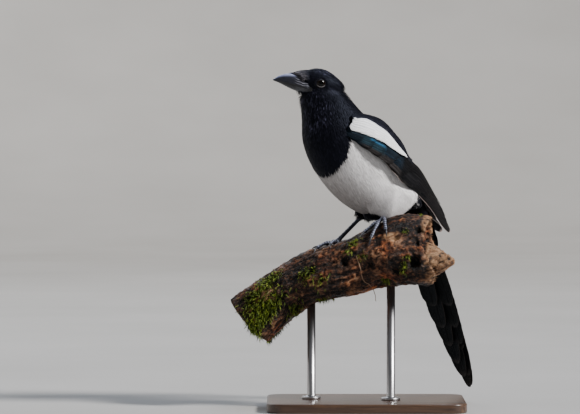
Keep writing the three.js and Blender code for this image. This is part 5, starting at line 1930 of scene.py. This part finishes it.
def shin(name, limb):
    """The bare leg, with a row of large plates down its front."""
    low = on_branch(*limb["palm"], PALM_LIFT)[0][0]
    high = to_part(HEELS[name][None])[0]
    steps = 90
    s = shares(steps)
    path = mix(low, high, s[:, None])
    radii = TARSUS_RADIUS * (1 + 0.28 * np.abs(2 * s - 1) ** 3)
    ahead = to_part(np.array([[1.0, 0, 0.35]]))
    a = circle(20)[None]
    front = np.clip(np.sin(a), 0, 1) ** 0.5
    plates = 0.3 * saw(1 - s, SHIN_PLATES)[:, None] * front
    plates = plates - 0.14 * bump(-1, -0.82, np.sin(a) + 0 * s[:, None], 0.1)
    made = sweep(path, radii - 0.08, 20, np.repeat(ahead, steps, 0), plates)
    # A painted highlight on the front of each large plate
    lit = bump(0.2, 0.95, saw(1 - s, SHIN_PLATES)[:, None], 0.12) * step(-0.2, 0.5, np.sin(a))
    made["plate"] = np.append(0.22 * lit.ravel(), [0, 0])
    return made


def claw(to, tip):
    """A claw that bends down from the end of its toe to its tip."""
    steps = 20
    s = shares(steps)[:, None]
    start, ups = on_branch(*to, GAP + TOE_RADIUS * 0.9)
    last = on_branch(*tip, GAP + 0.5)[0]
    high = on_branch(mix(to[0], tip[0], 0.45), mix(to[1], tip[1], 0.45), 4.4)[0]
    path = (1 - s) ** 2 * start + 2 * s * (1 - s) * high + s**2 * last
    radii = mix(CLAW_RADIUS, 0.16, s[:, 0] ** 1.3)
    return sweep(path, radii, 14, np.repeat(ups, steps, 0))


# The stand


def base_board():
    """A flat board with round corners and edges."""
    corners = []
    for sx, sy, start in ((1, -1, -90), (1, 1, 0), (-1, 1, 90), (-1, -1, 180)):
        a = np.radians(start + np.linspace(0, 90, 14))
        centre = np.array([sx * (BASE_LENGTH / 2 - BASE_CORNER), sy * (BASE_WIDTH / 2 - BASE_CORNER)])
        corners.append((centre, np.stack([np.cos(a), np.sin(a)], 1)))
    rings = []
    bends = [*np.radians(np.linspace(-90, 0, 6)), *np.radians(np.linspace(0, 90, 6))]
    for k, bend in enumerate(bends):
        inset = BASE_ROUNDING * (1 - math.cos(bend))
        rise = BASE_ROUNDING * math.sin(bend)
        z = BASE_ROUNDING + rise if k < 6 else BASE_HEIGHT - BASE_ROUNDING + rise
        outline = np.concatenate([c + d * (BASE_CORNER - inset) for c, d in corners])
        rings.append(np.column_stack([outline, np.full(len(outline), z)]))
    return ringed(np.stack(rings))


def rod(x):
    """A rod with a round foot, from the base up into the branch."""
    s = shares(200)
    _, y, z, radius = curve(BRANCH, np.interp(x, curve(BRANCH, s)[:, 0], s))[0]
    low = BASE_HEIGHT + 0.05
    collar = low + ROD_FOOT_HEIGHT
    profile = [
        (0.2, low),
        (ROD_FOOT_RADIUS - 0.4, low),
        (ROD_FOOT_RADIUS, low + 0.4),
        (ROD_FOOT_RADIUS, collar - 0.8),
        (ROD_FOOT_RADIUS - 0.3, collar - 0.25),
        (ROD_FOOT_RADIUS - 0.9, collar),
        (ROD_RADIUS + 1.2, collar + 0.1),
        (ROD_RADIUS + 0.4, collar + 0.5),
        (ROD_RADIUS, collar + 1.2),
        (ROD_RADIUS, z - radius * 0.72),
    ]
    r, h = (np.array(c)[:, None] for c in zip(*profile))
    a = circle(48)[None]
    return ringed(np.stack([x + r * np.cos(a), y + r * np.sin(a), h + 0 * a], -1))


# The whole


def in_part(one):
    """A shape of the bird's frame in the part's frame."""
    made = placed(one, to_part)
    if "soft" in one:
        made["soft"] = to_part(one["soft"])
    return made


def dress_body(black, white):
    """The skin, its coat and the long feathers over and between the legs."""
    cores = [wing_core(), shoulder_bed()]
    cover = Cover(cores + [mirrored(core) for core in cores])
    skin = Skin()
    dark = blackness(skin.points)[:, None]
    body = shape(skin.points, [skin.quads], tint=mix(WHITE * 0.55, BLACK, dark))
    make("skin", in_part(body), black,
         ("head", "neck", "breast", "back", "belly", "thigh_left", "thigh_right"))

    on_head = head_share(skin.middles) > 0.5
    dark = blackness(skin.middles) > 0.5
    neck = (AXIS_SHARES[axis_index(skin.middles)] > NECK_FROM) & ~on_head
    trunk = dark & ~neck & ~on_head
    front = skin.middles[:, 0] > 20
    left = skin.middles[:, 1] > 0
    plans = [
        ("coat_head", on_head & face_open(skin), 0.92, sizes_on_head, black, "black_plumage"),
        ("coat_neck", neck, 1.15, sizes_on_body, black, "black_plumage"),
        ("coat_breast", trunk & front, 1.3, sizes_on_body, black, "black_plumage"),
        ("coat_back", trunk & ~front, 1.3, small_near_heels, black, "black_plumage"),
        ("coat_belly_left", ~dark & left, 1.0, small_near_heels, white, "white_plumage"),
        ("coat_belly_right", ~dark & ~left, 1.0, small_near_heels, white, "white_plumage"),
    ]
    for seed, (name, chosen, spacing, size, paint, slot) in enumerate(plans):
        made = coat(skin, chosen, spacing, size, 50 + seed, cover, on_head=name == "coat_head")
        make(name, in_part(made), paint)
    make("flank_feathers", in_part(flank_feathers(skin, 1)), white)
    make("leg_feathers", in_part(trousers(skin)), black)


def dress_face(black, horn):
    make("nasal_bristles", in_part(bristles()), black)
    make("upper_mandible", in_part(mandible(True)), horn, ("bill_upper",))
    make("lower_mandible", in_part(mandible(False)), horn, ("bill_lower",))
    wet, rim = eye_paint(), lid_paint()
    for name, side in (("left", 1), ("right", -1)):
        make(f"eyeball_{name}", in_part(eyeball(side)), wet, (f"eye_{name}",))
        make(f"lids_{name}", in_part(lids(side)), rim)


def dress_wings(black, white, gloss):
    """The vanes of both wings and shoulders, and the sheets under them."""
    made = wing(), wing_core(), scapulars(), mantle(), shoulder_bed()
    for name in ("left", "right"):
        turned = made if name == "left" else [mirrored(one) for one in made]
        vanes, core, whites, blacks, bed = (in_part(one) for one in turned)
        make(f"wing_vanes_{name}", vanes, gloss, (f"wing_{name}",))
        make(f"wing_bed_{name}", core, black)
        make(f"scapular_vanes_{name}", whites, white, (f"scapular_{name}",))
        make(f"mantle_vanes_{name}", blacks, black)
        make(f"shoulder_bed_{name}", bed, white)


def dress_feet(scales, horn):
    for name, limb in FEET.items():
        make(f"toes_{name}", foot(limb), scales, (f"foot_{name}",))
        make(f"shin_{name}", shin(name, limb), scales, (f"tarsus_{name}",))
        claws = joined([claw(to, tip) for to, tip in limb["toes"]])
        make(f"claws_{name}", claws, horn, [f"claw_{name}_{k}" for k in (1, 2, 3, 4)])


def dress():
    black = plumage_paint("black_plumage", 0.5, (0.6, 0.7, 1.0), Specular_IOR_Level=0.11)
    white = plumage_paint("white_plumage", 0.75, (1, 1, 1), Specular_IOR_Level=0.15)
    wing_gloss = vane_paint("wing_gloss", 0.12, 0.42, (0.75, 0.84, 1.0))
    tail_gloss = vane_paint("tail_gloss", 0.1, 0.45, (0.85, 0.95, 0.95))
    horn = horn_paint()
    scales = scale_paint()
    wood = bark_paint()
    green = moss_paint()

    dress_body(black, white)
    dress_face(black, horn)
    dress_wings(black, white, wing_gloss)
    tail = joined([*tail_vanes(), *tail_coverts(True), *tail_coverts(False), tail_root()])
    make("tail_vanes", in_part(tail), tail_gloss, ("tail",))
    dress_feet(scales, horn)
    toes = [toe_path(limb["palm"], to, 12)[0] for limb in FEET.values() for to, _ in limb["toes"]]
    make("bark", bark(toes), wood, ("perch",))
    make("moss", moss(), green)
    make("torn_wood", joined([splinters(), rootlet()]), green)
    make("base_board", base_board(), base_paint(), ("stand_base",))
    rods = rod_paint()
    for k, x in enumerate(ROD_X):
        make(f"rod_{k + 1}", rod(x), rods, (f"stand_rod_{k + 1}",))


# Floor, lights and camera

# What the middle of the photo shows, and the photo's width at the bird
TARGET = np.array([-80.6, 0, 214.0])
FRAME_WIDTH = 580 * 1.06
CAMERA_AWAY = 4000
CAMERA_RISE = 1.8
SENSOR = 36


def stage():
    """A pale floor that turns up into a wide round bowl."""
    profile = [(0.001, 0), (1.2, 0), (3.0, 0), (4.5, 0.05), (5.6, 0.45), (6.4, 1.3), (6.9, 2.4), (7.0, 3.6)]
    r, h = (c[:, None] for c in curve(profile, shares(60)).T)
    h = np.where(r < 3.2, 0, np.maximum(h, 0))
    a = circle(96)[None]
    points = np.stack([r * np.cos(a), r * np.sin(a), h + 0 * a], -1)
    mesh, _ = mesh_of("floor", dict(points=points.reshape(-1, 3), faces=[grid_faces(60, 96, wrap=True)]))
    mesh.materials.append(floor_paint())
    linked("floor", mesh)


def aimed(name, data, at, target):
    """A light or camera at one place, looking at another."""
    made = linked(name, data)
    made.location = Vector(at)
    made.rotation_euler = (Vector(target) - Vector(at)).to_track_quat("-Z", "Y").to_euler()
    return made


def light(name, at, size, watts, colour):
    data = bpy.data.lights.new(name, "AREA")
    data.size = size
    data.energy = watts
    data.color = colour
    aimed(name, data, at, (-0.02, 0, 0.24))


def light_up():
    world = bpy.data.worlds.new("studio")
    bpy.context.scene.world = world
    world.use_nodes = True
    shade = world.node_tree.nodes["Background"]
    shade.inputs["Color"].default_value = (0.88, 0.92, 1.0, 1)
    shade.inputs["Strength"].default_value = 0.13
    sky = bpy.data.lights.new("sky", "SUN")
    sky.energy = 6.4
    sky.angle = math.radians(11)
    sky.color = (1.0, 0.98, 0.96)
    aimed("sky", sky, (2.5, -1.2, 2.2), (0, 0, 0.2))
    light("top", (0.2, 0.3, 2.2), 1.0, 22, (0.75, 0.84, 1.0))
    light("rim", (-0.8, 2.2, 1.8), 1.2, 18, (0.85, 0.92, 1.0))


def camera():
    data = bpy.data.cameras.new("camera")
    data.sensor_width = SENSOR
    data.lens = SENSOR * CAMERA_AWAY / FRAME_WIDTH
    data.clip_end = 60
    rise = math.radians(CAMERA_RISE)
    away = np.array([0, -math.cos(rise), math.sin(rise)]) * CAMERA_AWAY
    bpy.context.scene.camera = aimed("camera", data, (TARGET + away) * MM, TARGET * MM)


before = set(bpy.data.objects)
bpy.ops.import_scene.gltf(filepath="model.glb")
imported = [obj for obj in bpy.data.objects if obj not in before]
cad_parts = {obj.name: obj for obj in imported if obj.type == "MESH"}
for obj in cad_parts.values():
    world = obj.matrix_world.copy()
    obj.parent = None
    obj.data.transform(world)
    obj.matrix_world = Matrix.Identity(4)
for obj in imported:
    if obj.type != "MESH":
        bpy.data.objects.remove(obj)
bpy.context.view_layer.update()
camera()
stage()
light_up()
dress()
